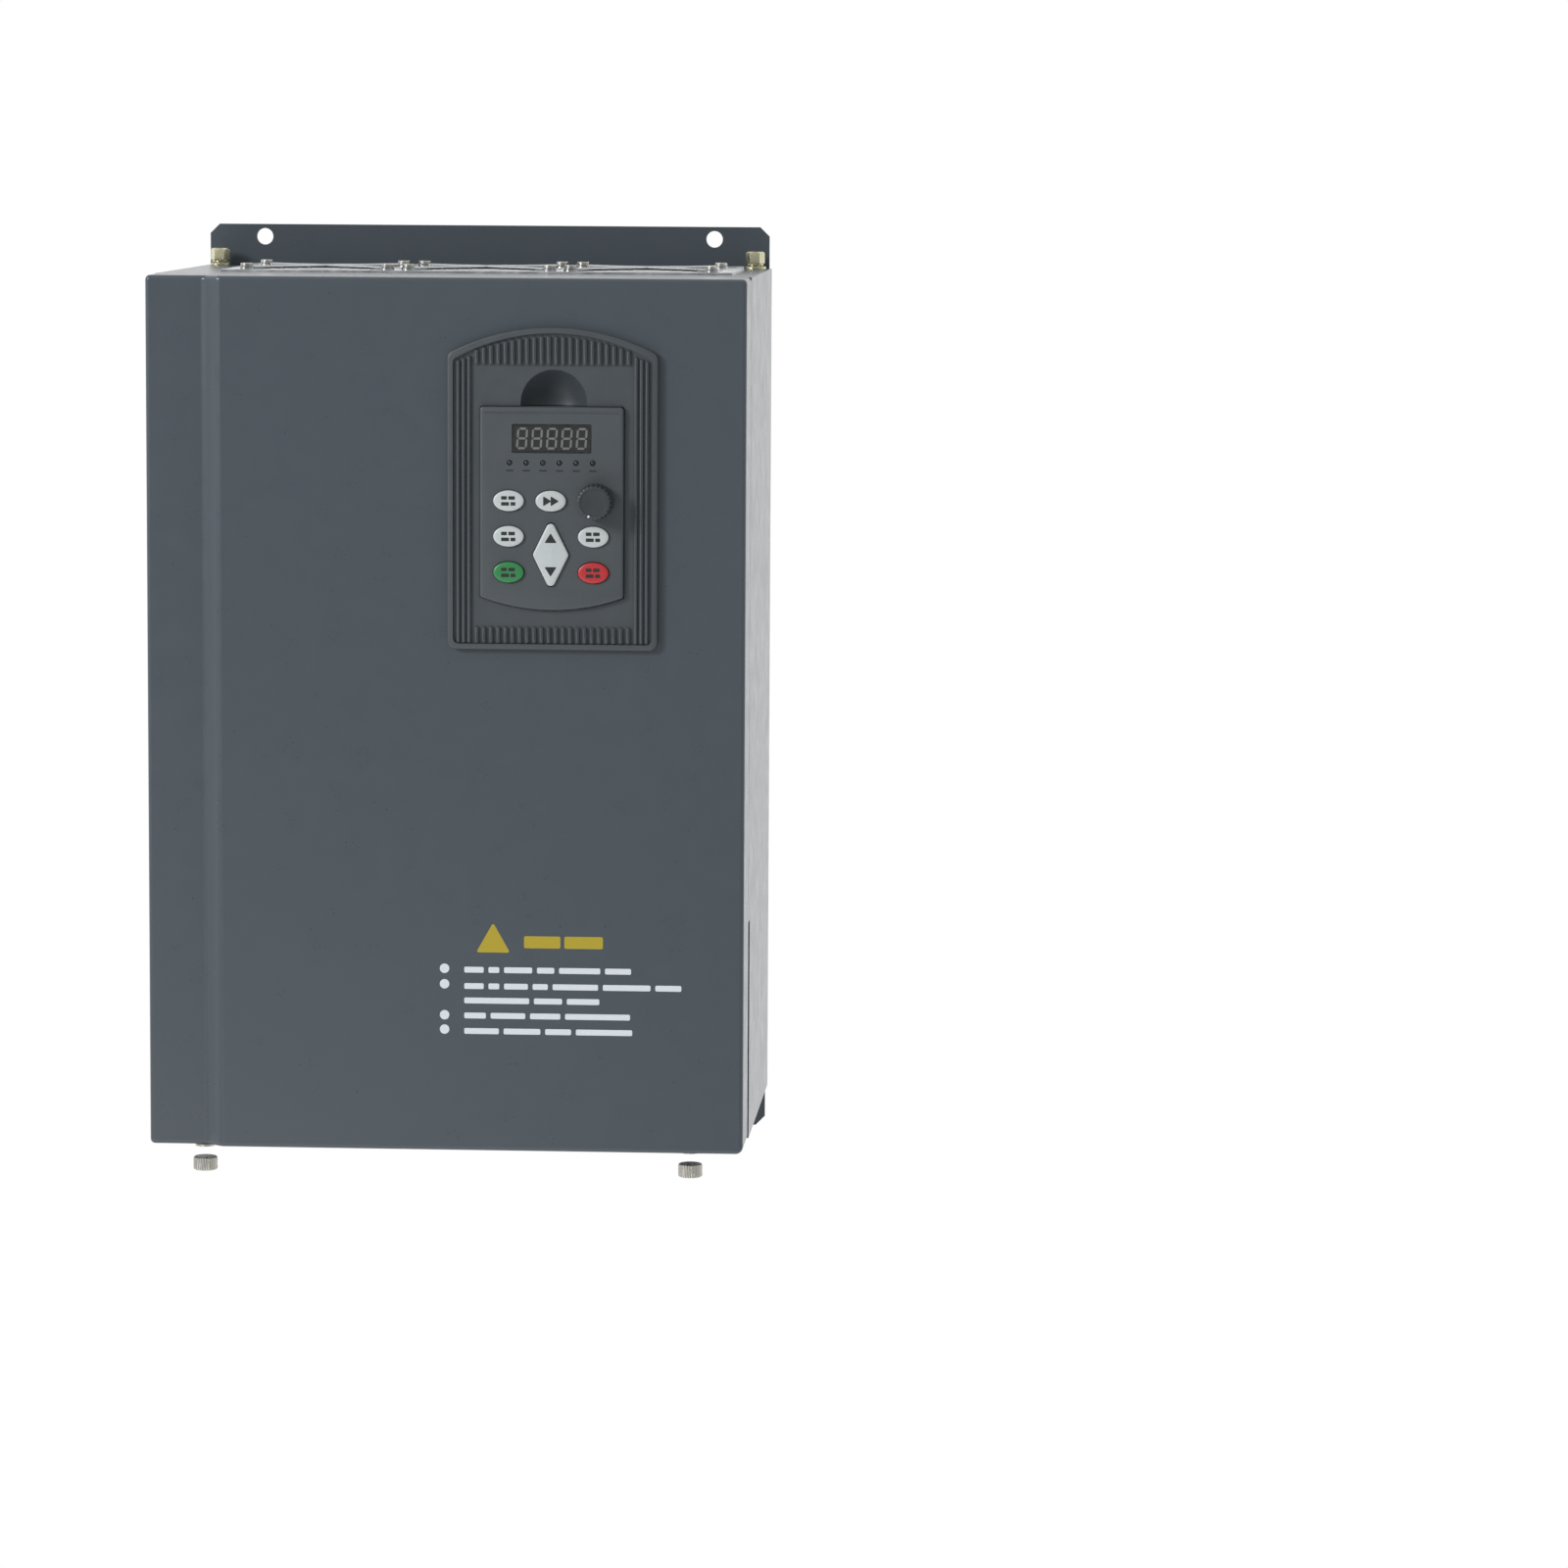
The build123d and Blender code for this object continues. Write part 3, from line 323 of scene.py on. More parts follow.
PAINT = powder_coat("case_paint", linear(60, 68, 75))
PALE = plastic("pale_floor", linear(248, 248, 248), 0.9)
TRAY_PLASTIC = plastic("tray_plastic", linear(56, 62, 66), 0.42)
PAD_PLASTIC = plastic("keypad_plastic", linear(59, 65, 69), 0.45)
KNOB_PLASTIC = plastic("knob_plastic", linear(44, 49, 52), 0.38)
BLACK_PLASTIC = plastic("black_plastic", linear(24, 25, 27), 0.4)
WHITE_KEY = plastic("white_key", linear(168, 174, 175), 0.38, 0.008)
GREEN_KEY = plastic("green_key", linear(38, 112, 62), 0.38, 0.008)
RED_KEY = plastic("red_key", linear(160, 34, 38), 0.38, 0.008)
DARK_INK = ink("dark_ink", linear(20, 22, 24))
WHITE_INK = ink("white_ink", linear(196, 202, 208))
YELLOW_INK = ink("yellow_ink", linear(158, 140, 24))
SEGMENT = plastic("unlit_segment", linear(178, 182, 180), 0.4, 0.004)
WINDOW = glass("window_film", (0.75, 0.76, 0.76, 1))
LED_LENS = plastic("led_lens", linear(40, 34, 34), 0.25, 0.004)
ZINC = galvanised("zinc_plate")
YELLOW_ZINC = metal("yellow_zinc", linear(206, 202, 172), 0.3)
NICKEL = metal("nickel", linear(190, 188, 180), 0.28)
CHROME = metal("chrome_wire", linear(176, 178, 180), 0.24)
ALUMINIUM = metal("extruded_aluminium", linear(198, 200, 202), 0.34, (1, 1, 0.03), 260, 0.02)
COPPER = metal("copper", linear(210, 132, 92), 0.3, (1, 1, 0.05))
MASK_GREEN = circuit_board("solder_mask", linear(24, 92, 52))
RUBBER = plastic("rubber", linear(26, 26, 27), 0.75, 0.05)
EPOXY = plastic("module_epoxy", linear(48, 48, 50), 0.55, 0.05)
SLEEVE = plastic("capacitor_sleeve", linear(30, 34, 52), 0.22, 0.01)
TERMINAL = plastic("terminal_plastic", linear(40, 41, 43), 0.5, 0.04)
CONNECTOR = plastic("connector_plastic", linear(52, 128, 78), 0.4)
FERRITE = plastic("ferrite", linear(60, 58, 56), 0.6, 0.06)
TAPE = plastic("winding_tape", linear(206, 170, 62), 0.35, 0.01)
RIBBON = plastic("ribbon_cable", linear(168, 172, 178), 0.5, 0.02)
RELAY = plastic("relay_case", linear(34, 58, 110), 0.25, 0.006)
RESISTOR = plastic("film_resistor", linear(120, 156, 186), 0.35, 0.01)
CERAMIC = plastic("ceramic_part", linear(196, 172, 132), 0.4, 0.01)
TIN = metal("tinned_metal", linear(206, 208, 210), 0.25)


# ------------ mesh building
def around(steps):
    """Evenly spaced angles of one full turn."""
    return [2 * math.pi * k / steps for k in range(steps)]


def ellipse(cx, cz, rx, rz, steps=48):
    return [(cx + rx * math.cos(a), cz + rz * math.sin(a)) for a in around(steps)]


def rounded(corners, radii, steps=6):
    """A closed outline with each corner rounded to its radius."""
    points = []
    count = len(corners)
    for i, corner in enumerate(corners):
        here = Vector(corner)
        before = (Vector(corners[i - 1]) - here).normalized()
        after = (Vector(corners[(i + 1) % count]) - here).normalized()
        radius = radii[i] if isinstance(radii, (list, tuple)) else radii
        if radius <= 0:
            points.append(tuple(here))
            continue
        half = before.angle(after) / 2
        reach = radius / math.tan(half)
        centre = here + (before + after).normalized() * (radius / math.sin(half))
        first = here + before * reach - centre
        last = here + after * reach - centre
        for k in range(steps + 1):
            spoke = first.lerp(last, k / steps).normalized() * radius
            points.append(tuple(centre + spoke))
    return points


def rectangle(x, z, radius=0, steps=4):
    corners = [(x[0], z[0]), (x[1], z[0]), (x[1], z[1]), (x[0], z[1])]
    return rounded(corners, radius, steps) if radius else corners


def inset(points, amount):
    """A closed outline moved inwards, corner by corner."""
    area = sum(a[0] * b[1] - b[0] * a[1] for a, b in zip(points, points[1:] + points[:1]))
    side = 1 if area > 0 else -1
    moved = []
    count = len(points)
    for i, point in enumerate(points):
        here = Vector(point)
        into = (here - Vector(points[i - 1])).normalized()
        out = (Vector(points[(i + 1) % count]) - here).normalized()
        normal = Vector((-into.y - out.y, into.x + out.x)).normalized() * side
        lean = max(0.35, normal.dot(Vector((-into.y, into.x)) * side))
        moved.append(tuple(here + normal * amount / lean))
    return moved


def round_off(bm, edges, radius, steps):
    bmesh.ops.bevel(bm, geom=edges, offset=radius, segments=steps, affect="EDGES", profile=0.5)


def at_depth(outline, y):
    return [(x, y, z) for x, z in outline]


class Form:
    """A mesh in the making, in millimetres."""

    def __init__(self):
        self.bm = bmesh.new()

    def loft(self, rings):
        """Skins rings of equal length, each a list of points, and closes both ends."""
        loops = [[self.bm.verts.new(p) for p in ring] for ring in rings]
        faces = []
        for one, two in zip(loops, loops[1:]):
            for i in range(len(one)):
                j = (i + 1) % len(one)
                faces.append(self.bm.faces.new((one[i], one[j], two[j], two[i])))
        faces.append(self.bm.faces.new(list(reversed(loops[0]))))
        faces.append(self.bm.faces.new(loops[-1]))
        bmesh.ops.recalc_face_normals(self.bm, faces=faces)
        return self

    def box(self, x, y, z, soft=0, steps=2):
        """A box between the limits given for each axis, its edges rounded by soft."""
        before = set(self.bm.verts)
        centre = Vector([sum(pair) / 2 for pair in (x, y, z)])
        size = [abs(pair[1] - pair[0]) for pair in (x, y, z)]
        place = Matrix.Translation(centre) @ Matrix.Diagonal((*size, 1))
        bmesh.ops.create_cube(self.bm, size=1, matrix=place)
        if soft:
            verts = [v for v in self.bm.verts if v not in before]
            edges = list({e for v in verts for e in v.link_edges})
            round_off(self.bm, edges, soft, steps)
        return self

    def plate(self, outline, front, back, soft=0, steps=3):
        """A front-view outline given thickness, its front edge rounded by soft."""
        rings = [at_depth(outline, back)]
        if soft:
            for k in range(steps + 1):
                a = math.pi / 2 * k / steps
                edge = inset(outline, soft * (1 - math.cos(a)))
                rings.append(at_depth(edge, front + soft * (1 - math.sin(a))))
        else:
            rings.append(at_depth(outline, front))
        return self.loft(rings)

    def lathe(self, origin, axis, profile, steps):
        """Turns (radius, height) points about an axis through origin."""
        turn = Vector((0, 0, 1)).rotation_difference(Vector(axis)).to_matrix()
        rings = []
        for r, h in profile:
            circle = [Vector((x, y, h)) for x, y in ellipse(0, 0, r, r, steps)]
            rings.append([Vector(origin) + turn @ point for point in circle])
        return self.loft(rings)

    def rod(self, start, end, r, steps, soft=0):
        length = (Vector(end) - Vector(start)).length
        profile = [(r, 0), (r, length)]
        if soft:
            profile = [(r - soft, 0), (r, soft), (r, length - soft), (r - soft, length)]
        return self.lathe(start, Vector(end) - Vector(start), profile, steps)

    def tube(self, points, r, steps):
        """A round bar along a path of points."""
        path = [Vector(p) for p in points]
        rings = []
        side = None
        for i, here in enumerate(path):
            ahead = (path[min(i + 1, len(path) - 1)] - path[max(i - 1, 0)]).normalized()
            if side is None:
                side = ahead.orthogonal().normalized()
            side = (side - ahead * side.dot(ahead)).normalized()
            other = ahead.cross(side)
            spokes = [side * math.cos(a) + other * math.sin(a) for a in around(steps)]
            rings.append([here + spoke * r for spoke in spokes])
        return self.loft(rings)

    def ring(self, centre, r, wire, steps, sides):
        """A closed wire ring that lies level."""
        loops = []
        for a in around(steps):
            loop = []
            for b in around(sides):
                reach = r + wire * math.cos(b)
                point = Vector((reach * math.cos(a), reach * math.sin(a), wire * math.sin(b)))
                loop.append(self.bm.verts.new(Vector(centre) + point))
            loops.append(loop)
        for one, two in zip(loops, loops[1:] + loops[:1]):
            for s in range(sides):
                t = (s + 1) % sides
                self.bm.faces.new((one[s], two[s], two[t], one[t]))

    def to_object(self, name, material):
        bmesh.ops.scale(self.bm, vec=(MM, MM, MM), verts=self.bm.verts)
        mesh = bpy.data.meshes.new(name)
        self.bm.to_mesh(mesh)
        self.bm.free()
        mesh.materials.append(material)
        return put_in_scene(name, mesh)


def smooth(made, angle):
    """Smooth shading, broken at edges sharper than the angle."""
    made.data.polygons.foreach_set("use_smooth", [True] * len(made.data.polygons))
    made.data.set_sharp_from_angle(angle=math.radians(angle))
    return made


def soften(made, width, angle=40):
    """A small rounding on every sharp edge, width in millimetres."""
    bevel = made.modifiers.new("soft_edges", "BEVEL")
    bevel.width = width * MM
    bevel.segments = 2
    bevel.limit_method = "ANGLE"
    bevel.angle_limit = math.radians(angle)
    bevel.harden_normals = True


def keep_flat(made):
    """Shades large flat faces evenly right up to their rounded edges."""
    even = made.modifiers.new("flat_faces_stay_flat", "WEIGHTED_NORMAL")
    even.keep_sharp = True


def piece(form, name, body, material, replaces=(), soft=0):
    """Makes the form a piece that rides on a CAD body."""
    made = smooth(form.to_object(name, material), 35)
    if soft:
        soften(made, soft)
    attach(made, body)
    if replaces:
        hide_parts(*replaces)


def cut(made, tools, mode="DIFFERENCE"):
    """Cuts other forms from a piece, and keeps the result as its mesh."""
    for tool in tools:
        cutter = tool.to_object("cutter", made.data.materials[0])
        step = made.modifiers.new("cut", "BOOLEAN")
        step.operation = mode
        step.solver = "EXACT"
        step.object = cutter
        bpy.context.view_layer.update()
        shaped = made.evaluated_get(bpy.context.evaluated_depsgraph_get())
        mesh = bpy.data.meshes.new_from_object(shaped)
        made.modifiers.clear()
        old = made.data
        made.data = mesh
        bpy.data.meshes.remove(old)
        bpy.data.objects.remove(cutter)


def finish_node(node, material, soft):
    """Gives a CAD node its material and rounds its sharp edges."""
    made = nodes[node]
    made.data.materials.clear()
    made.data.materials.append(material)
    if soft:
        if "custom_normal" in made.data.attributes:
            made.data.attributes.remove(made.data.attributes["custom_normal"])
        weld = made.modifiers.new("weld", "WELD")
        weld.merge_threshold = 1e-6
        flat = made.modifiers.new("flat_faces", "DECIMATE")
        flat.decimate_type = "DISSOLVE"
        flat.angle_limit = math.radians(0.5)
        made.data.polygons.foreach_set("use_smooth", [True] * len(made.data.polygons))
        soften(made, soft, 30)
        keep_flat(made)


# ------------ shared outlines
def bow(x, z, rise, steps=24):
    """A shallow arc between two ends at one height, from left to right; rise may be negative."""
    half = (x[1] - x[0]) / 2
    r = (half * half + rise * rise) / (2 * abs(rise))
    reach = math.asin(half / r)
    points = []
    for k in range(steps + 1):
        a = reach * (2 * k / steps - 1)
        lift = r * math.cos(a) - r + abs(rise)
        points.append(((x[0] + x[1]) / 2 + r * math.sin(a), z + math.copysign(lift, rise)))
    return points


TRAY_X, TRAY_Y, TRAY_Z = limits("keypad_tray")
SHOULDER = TRAY_Z[1] - 12.1
RIM_WIDTH = 2.6
FIELD_Y = TRAY_Y[0] + 1.6
PAD_X, PAD_Y, PAD_Z = limits("keypad_front")
PAD_BOW = 5.9
FACE_Y = PAD_Y[0]
SPLIT_Y = PAD_Y[1]
SKIN = 1.8
WALL = 1.6
DIAMOND_W = 15.6
DIAMOND_H = 29.7
TUB_TOP = 161.5


def arch_outline(margin):
    """The tray's outline, moved inwards by margin."""
    x = widened(TRAY_X, -margin)
    top = bow(x, SHOULDER - margin, TRAY_Z[1] - SHOULDER, 30)
    corners = [(x[0], TRAY_Z[0] + margin), (x[1], TRAY_Z[0] + margin)] + top[::-1]
    r = 4 - margin / 2
    return rounded(corners, [r, r, r] + [0] * (len(top) - 2) + [r])


def keypad_outline(grow):
    """The keypad's outline, moved outwards by grow."""
    x = widened(PAD_X, grow)
    low = bow(x, PAD_Z[0] + PAD_BOW - grow, -PAD_BOW, 24)
    corners = low + [(x[1], PAD_Z[1] + grow), (x[0], PAD_Z[1] + grow)]
    return rounded(corners, [1.4] + [0] * (len(low) - 2) + [1.4, 1.5, 1.5])


def diamond_outline(grow):
    """The rocker key's outline, moved outwards by grow; its corners are rounded back to the CAD's."""
    at = middle("key_up_down")
    cx, cz = at.x, at.z
    half_w = DIAMOND_W / 2 + 0.5 + grow
    half_h = DIAMOND_H / 2 + 1.9 + grow
    return rounded([(cx + half_w, cz), (cx, cz + half_h), (cx - half_w, cz), (cx, cz - half_h)], 2.0)


# ------------ front cover
COVER_X, COVER_Y, COVER_Z = limits("front_cover")
FRONT = COVER_Y[0]
STRIP_EDGE = COVER_X[0] + 27.4
SLOPE_EDGE = COVER_X[0] + 33.9
STRIP_Y = FRONT + 6
CUT_X = (14.6, 84.7)
CUT_Z = (47.8, 161.8)
COVER_SHEET = 1.2
FOLD_R = 2.0
CORNER_R = 3.5
SLOT_HALF = 2.8
PRINT = (FRONT - 0.05, FRONT + 0.1)  # depth of the printed marks


def add_front_cover():
    """The folded pan: a grid of flat faces and four returns, its folds rounded, then thickened."""
    form = Form()
    bm = form.bm
    columns = [(COVER_X[0], STRIP_Y), (STRIP_EDGE, STRIP_Y), (SLOPE_EDGE, FRONT)]
    columns += [(CUT_X[0], FRONT), (CUT_X[1], FRONT), (COVER_X[1], FRONT)]
    rows = [COVER_Z[0], *CUT_Z, COVER_Z[1]]
    grid = [[bm.verts.new((x, y, z)) for z in rows] for x, y in columns]
    last_i, last_j = len(columns) - 1, len(rows) - 1
    for i in range(last_i):
        for j in range(last_j):
            if (i, j) != (3, 1):
                bm.faces.new((grid[i][j], grid[i + 1][j], grid[i + 1][j + 1], grid[i][j + 1]))
    edge = [(i, 0) for i in range(last_i)] + [(last_i, j) for j in range(last_j)]
    edge += [(i, last_j) for i in range(last_i, 0, -1)] + [(0, j) for j in range(last_j, 0, -1)]
    near = [grid[i][j] for i, j in edge]
    far = [bm.verts.new((v.co.x, COVER_Y[1], v.co.z)) for v in near]
    for k, vert in enumerate(near):
        n = (k + 1) % len(near)
        bm.faces.new((vert, far[k], far[n], near[n]))
    bmesh.ops.recalc_face_normals(bm, faces=bm.faces)

    def folds(along_y):
        found = []
        for e in bm.edges:
            if len(e.link_faces) == 2 and e.calc_face_angle() > 0.3:
                run = e.verts[0].co - e.verts[1].co
                if (abs(run.y) > abs(run.x) + abs(run.z)) == along_y:
                    found.append(e)
        return found

    lower_right = [e for e in folds(True) if e.verts[0].co.x > 0 and e.verts[0].co.z < 0]
    round_off(bm, lower_right, CORNER_R, 6)
    round_off(bm, [e for e in folds(True) if e.calc_face_angle() > 1], FOLD_R + 0.2, 4)
    round_off(bm, folds(False), FOLD_R, 4)
    bmesh.ops.dissolve_degenerate(bm, dist=0.01, edges=bm.edges)
    bmesh.ops.recalc_face_normals(bm, faces=bm.faces)
    if sum(f.normal.y * f.calc_area() for f in bm.faces) > 0:
        bmesh.ops.reverse_faces(bm, faces=bm.faces)
    cover = form.to_object("front_cover_skin", PAINT)
    shell = cover.modifiers.new("sheet", "SOLIDIFY")
    shell.thickness = COVER_SHEET * MM
    shell.offset = -1
    shell.use_even_offset = True
    slots = Form()
    for name in ("thumb_screw_left", "thumb_screw_right"):
        x, y, _ = middle(name)
        corners = rectangle(about(x, SLOT_HALF), (y - SLOT_HALF, COVER_Y[1] + 3))
        outline = rounded(corners, [SLOT_HALF - 0.01, SLOT_HALF - 0.01, 0, 0], 10)
        slots.loft([[(px, py, z) for px, py in outline] for z in (COVER_Z[0] - 2, COVER_Z[0] + 3)])
    cut(cover, [slots])
    smooth(cover, 50)
    keep_flat(cover)
    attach(cover, "cover")
    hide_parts("front_cover")


BAR_GAP = 2.2
BAR_HALF = 1.35
NOTICE_X = 9.2
DOT_ROWS = (-116.0, -123.2, -137.6, -144.3)
# The lengths of the bars in each line, by the line's height.
BAR_ROWS = {-116.5: (9, 5, 13, 8, 19, 12), -124.1: (9, 5, 11, 7, 21, 22, 12), -130.8: (30, 13, 15),
            -137.8: (10, 16, 14, 30), -145.0: (16, 17, 12, 26)}


def add_notice():
    """Plain printed marks low on the cover: a triangle, a heading bar, dots and lines of bars."""
    yellow = Form()
    yellow.plate(rounded([(14.7, -108.4), (30.4, -108.4), (22.55, -94.5)], 0.7), *PRINT)
    for start, end in ((36.8, 53.6), (55.4, 73.2)):
        yellow.plate(rectangle((start, end), (-106.2, -100.6), 0.8), *PRINT)
    piece(yellow, "notice_heading", "cover", YELLOW_INK)
    white = Form()
    for z in DOT_ROWS:
        white.plate(ellipse(0.1, z, 2.2, 2.2, 24), *PRINT)
    for z, words in BAR_ROWS.items():
        x = NOTICE_X
        for word in words:
            white.plate(rectangle((x, x + word), about(z, BAR_HALF), 0.6, 3), *PRINT)
            x += word + BAR_GAP
    piece(white, "notice_lines", "cover", WHITE_INK)


# ------------ keypad tray
COMB_PITCH = 3.3
COMB_COUNT = 22
TUB_WALL = 1.9  # from the keypad's side to the outside of the tray's tub
SCOOP_X = 50.4
SCOOP_Z = 144.4
SCOOP_R = 16.2
SCOOP_Y = FIELD_Y - 5.6
SCOOP_HEIGHTS = (-2, 0, 3, 6, 9, 11.5, 13.5, 14.9, 15.8, 16.15)


def add_keypad_tray():
    """The arched bezel: a rounded rim, a sunk field, the keypad's pocket and the finger scoop."""
    bezel = Form().plate(arch_outline(0), TRAY_Y[0], FRONT, 0.9, 4)
    tray = bezel.to_object("keypad_tray_shell", TRAY_PLASTIC)
    recess = Form().plate(arch_outline(RIM_WIDTH), TRAY_Y[0] - 1, FIELD_Y)
    tub = Form().box(widened(PAD_X, TUB_WALL), (FRONT - 1, TRAY_Y[1]), (PAD_Z[0] - TUB_WALL, TUB_TOP))
    cut(tray, [recess])
    cut(tray, [tub], "UNION")
    pocket = Form().plate(keypad_outline(0.3), TRAY_Y[0] - 2, TRAY_Y[1] - WALL)
    rings = [(math.sqrt(SCOOP_R**2 - h * h), h) for h in SCOOP_HEIGHTS]
    scoop = Form().lathe((SCOOP_X, SCOOP_Y, SCOOP_Z), (0, 0, 1), rings, 64)
    x, _, z = limits("keypad_plug")
    hole = Form().box(widened(x, 0.4), (TRAY_Y[1] - 3, TRAY_Y[1] + 1), widened(z, 0.4))
    cut(tray, [pocket, scoop, hole])
    smooth(tray, 30)
    soften(tray, 0.2, 50)
    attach(tray, "cover")
    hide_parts("keypad_tray")


def add_tray_ribs():
    """Rounded ribs: uprights down both sides, and a comb above and below the field."""

    def rib(form, x, half, z):
        outline = rectangle(about(x, half), z, half * 0.45, 2)
        form.plate(outline, TRAY_Y[0] + 0.1, FIELD_Y + 0.1, half * 0.7, 3)

    uprights = Form()
    for i in range(3):
        for x in (TRAY_X[0] + 5 + 2.5 * i, TRAY_X[1] - 5 - 2.5 * i):
            rib(uprights, x, 0.8, (TRAY_Z[0] + RIM_WIDTH + 0.4, SHOULDER - 3 + i))
    piece(uprights, "tray_upright_ribs", "cover", TRAY_PLASTIC)
    comb = Form()
    centre = sum(TRAY_X) / 2
    for i in range(COMB_COUNT):
        x = centre + COMB_PITCH * (i - (COMB_COUNT - 1) / 2)
        rise = (TRAY_Z[1] - SHOULDER) * (1 - ((x - centre) / (centre - TRAY_X[0])) ** 2)
        rib(comb, x, 0.95, (TUB_TOP + 0.2, SHOULDER - RIM_WIDTH - 1.4 + rise))
        rib(comb, x, 0.95, (TRAY_Z[0] + RIM_WIDTH + 0.4, TRAY_Z[0] + 10.4))
    piece(comb, "tray_comb_ribs", "cover", TRAY_PLASTIC)


# ------------ keypad
OVAL_KEYS = ("key_menu", "key_shift", "key_enter", "key_jog", "key_run", "key_stop")
KEY_COLOURS = {"key_run": (GREEN_KEY, "green_key"), "key_stop": (RED_KEY, "red_key")}
KEY_RX = 7.0
KEY_RZ = 4.75
KEY_FRONT = limits("key_menu")[1][0]
CAP_EDGE = ((0, 0.7), (-0.1, 0.35), (-0.4, 0.12), (-1.1, 0.02), (-2.2, 0))  # growth, depth
LEGEND_BARS = ((-2.0, 1.35, 1.3), (1.5, 1.35, 1.5), (-1.5, -1.35, 1.8), (2.1, -1.35, 1.1))
SNUG = 0.15  # the gap round the window and the status LEDs
KEY_GAP = 0.25
ROCKER_GAP = 0.45
SHAFT_HOLE_R = 3.6
DIGITS = 5
DIGIT_PITCH = 6.8
DIGIT_HALF = (2.0, 4.45)
DIGIT_LEAN = 4
SEGMENT_HALF = 0.48
SEGMENT_GAP = 0.25
STATUS_COUNT = 6
STATUS_R = 1.1
STEM_R = 2.0
STEM_SHIFT = 7.7  # from the diamond key's middle to each of its stems


def legend_depth(face):
    """Where a printed legend lies on a face."""
    return face - 0.03, face + 0.1


def add_keypad_shell():
    """The face shell, with a rounded edge and a hole for each thing that shows through it."""
    face = Form().plate(keypad_outline(0), FACE_Y, SPLIT_Y, 1.1, 4)
    shell = face.to_object("keypad_face_shell", PAD_PLASTIC)
    hollow = Form().plate(keypad_outline(-WALL), FACE_Y + SKIN, SPLIT_Y + 1)
    through = (FACE_Y - 1, FACE_Y + SKIN + 1)
    holes = Form()
    x, _, z = limits("display_window")
    holes.plate(rectangle(widened(x, SNUG), widened(z, SNUG), 0.6), *through)
    for x, z in status_places():
        holes.plate(ellipse(x, z, STATUS_R + SNUG, STATUS_R + SNUG, 24), *through)
    for name in OVAL_KEYS:
        at = middle(name)
        holes.plate(ellipse(at.x, at.z, KEY_RX + KEY_GAP, KEY_RZ + KEY_GAP), *through)
    holes.plate(diamond_outline(ROCKER_GAP), *through)
    at = middle("knob")
    holes.plate(ellipse(at.x, at.z, SHAFT_HOLE_R, SHAFT_HOLE_R), *through)
    groove_z = (PAD_Z[1] - 3.0, PAD_Z[1] - 2.5)
    groove = Form().box(widened(PAD_X, -2.2), (FACE_Y - 1, FACE_Y + 0.25), groove_z)
    cut(shell, [hollow, holes, groove])
    smooth(shell, 30)
    soften(shell, 0.15, 50)
    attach(shell, "keypad")
    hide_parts("keypad_front")


def status_places():
    """The centres of the six status LEDs."""
    x, _, z = limits("status_leds")
    return [(place, sum(z) / 2) for place in spread(x, STATUS_R, STATUS_COUNT)]


def add_status_leds():
    lenses = Form()
    legends = Form()
    profile = [(STATUS_R, 0), (STATUS_R, 1.6), (1.0, 2.0), (0.7, 2.25), (0.3, 2.37)]
    for x, z in status_places():
        lenses.lathe((x, FACE_Y + 2.5, z), (0, -1, 0), profile, 20)
        legends.plate(rectangle(about(x, 1.7), (z - 3.9, z - 3.2), 0.25, 2), *legend_depth(FACE_Y))
    piece(lenses, "status_led_lenses", "keypad", LED_LENS, ["status_leds"])
    piece(legends, "status_legends", "keypad", DARK_INK)


def add_digits():
    """Five seven-segment digits behind the window."""
    x, y, z = limits("led_display")
    cx, cz = sum(x) / 2, sum(z) / 2
    half_w, half_h = DIGIT_HALF
    lean = math.tan(math.radians(DIGIT_LEAN))
    segments = Form()

    def segment(start, end):
        run = (Vector(end) - Vector(start)).normalized()
        side = Vector((-run.y, run.x)) * SEGMENT_HALF
        a, b = Vector(start) + run * SEGMENT_GAP, Vector(end) - run * SEGMENT_GAP
        c, d = a + run * SEGMENT_HALF, b - run * SEGMENT_HALF
        points = [a, c + side, d + side, b, d - side, c - side]
        segments.plate([(p.x + (p.y - cz) * lean, p.y) for p in points], y[0] - 0.05, y[0] + 0.1)

    for i in range(DIGITS):
        dx = cx + DIGIT_PITCH * (i - (DIGITS - 1) / 2)
        left, right = dx - half_w, dx + half_w
        for level in (cz - half_h, cz, cz + half_h):
            segment((left, level), (right, level))
        for low in (cz - half_h, cz):
            segment((left, low), (left, low + half_h))
            segment((right, low), (right, low + half_h))
    piece(segments, "display_segments", "keypad", SEGMENT)


def triangle(cx, cz, half, height, direction):
    """A triangle pointing right, up or down."""
    along = Vector({"right": (1, 0), "up": (0, 1), "down": (0, -1)}[direction])
    across = Vector((-along.y, along.x)) * half
    centre = Vector((cx, cz))
    foot = centre - along * height / 2
    return rounded([centre + along * height / 2, foot + across, foot - across], 0.25, 3)


def add_stem(form, x, z, end):
    """The round stem behind a key, down to its switch."""
    form.rod((x, FACE_Y + SKIN + 1, z), (x, end, z), STEM_R, 20, 0.2)


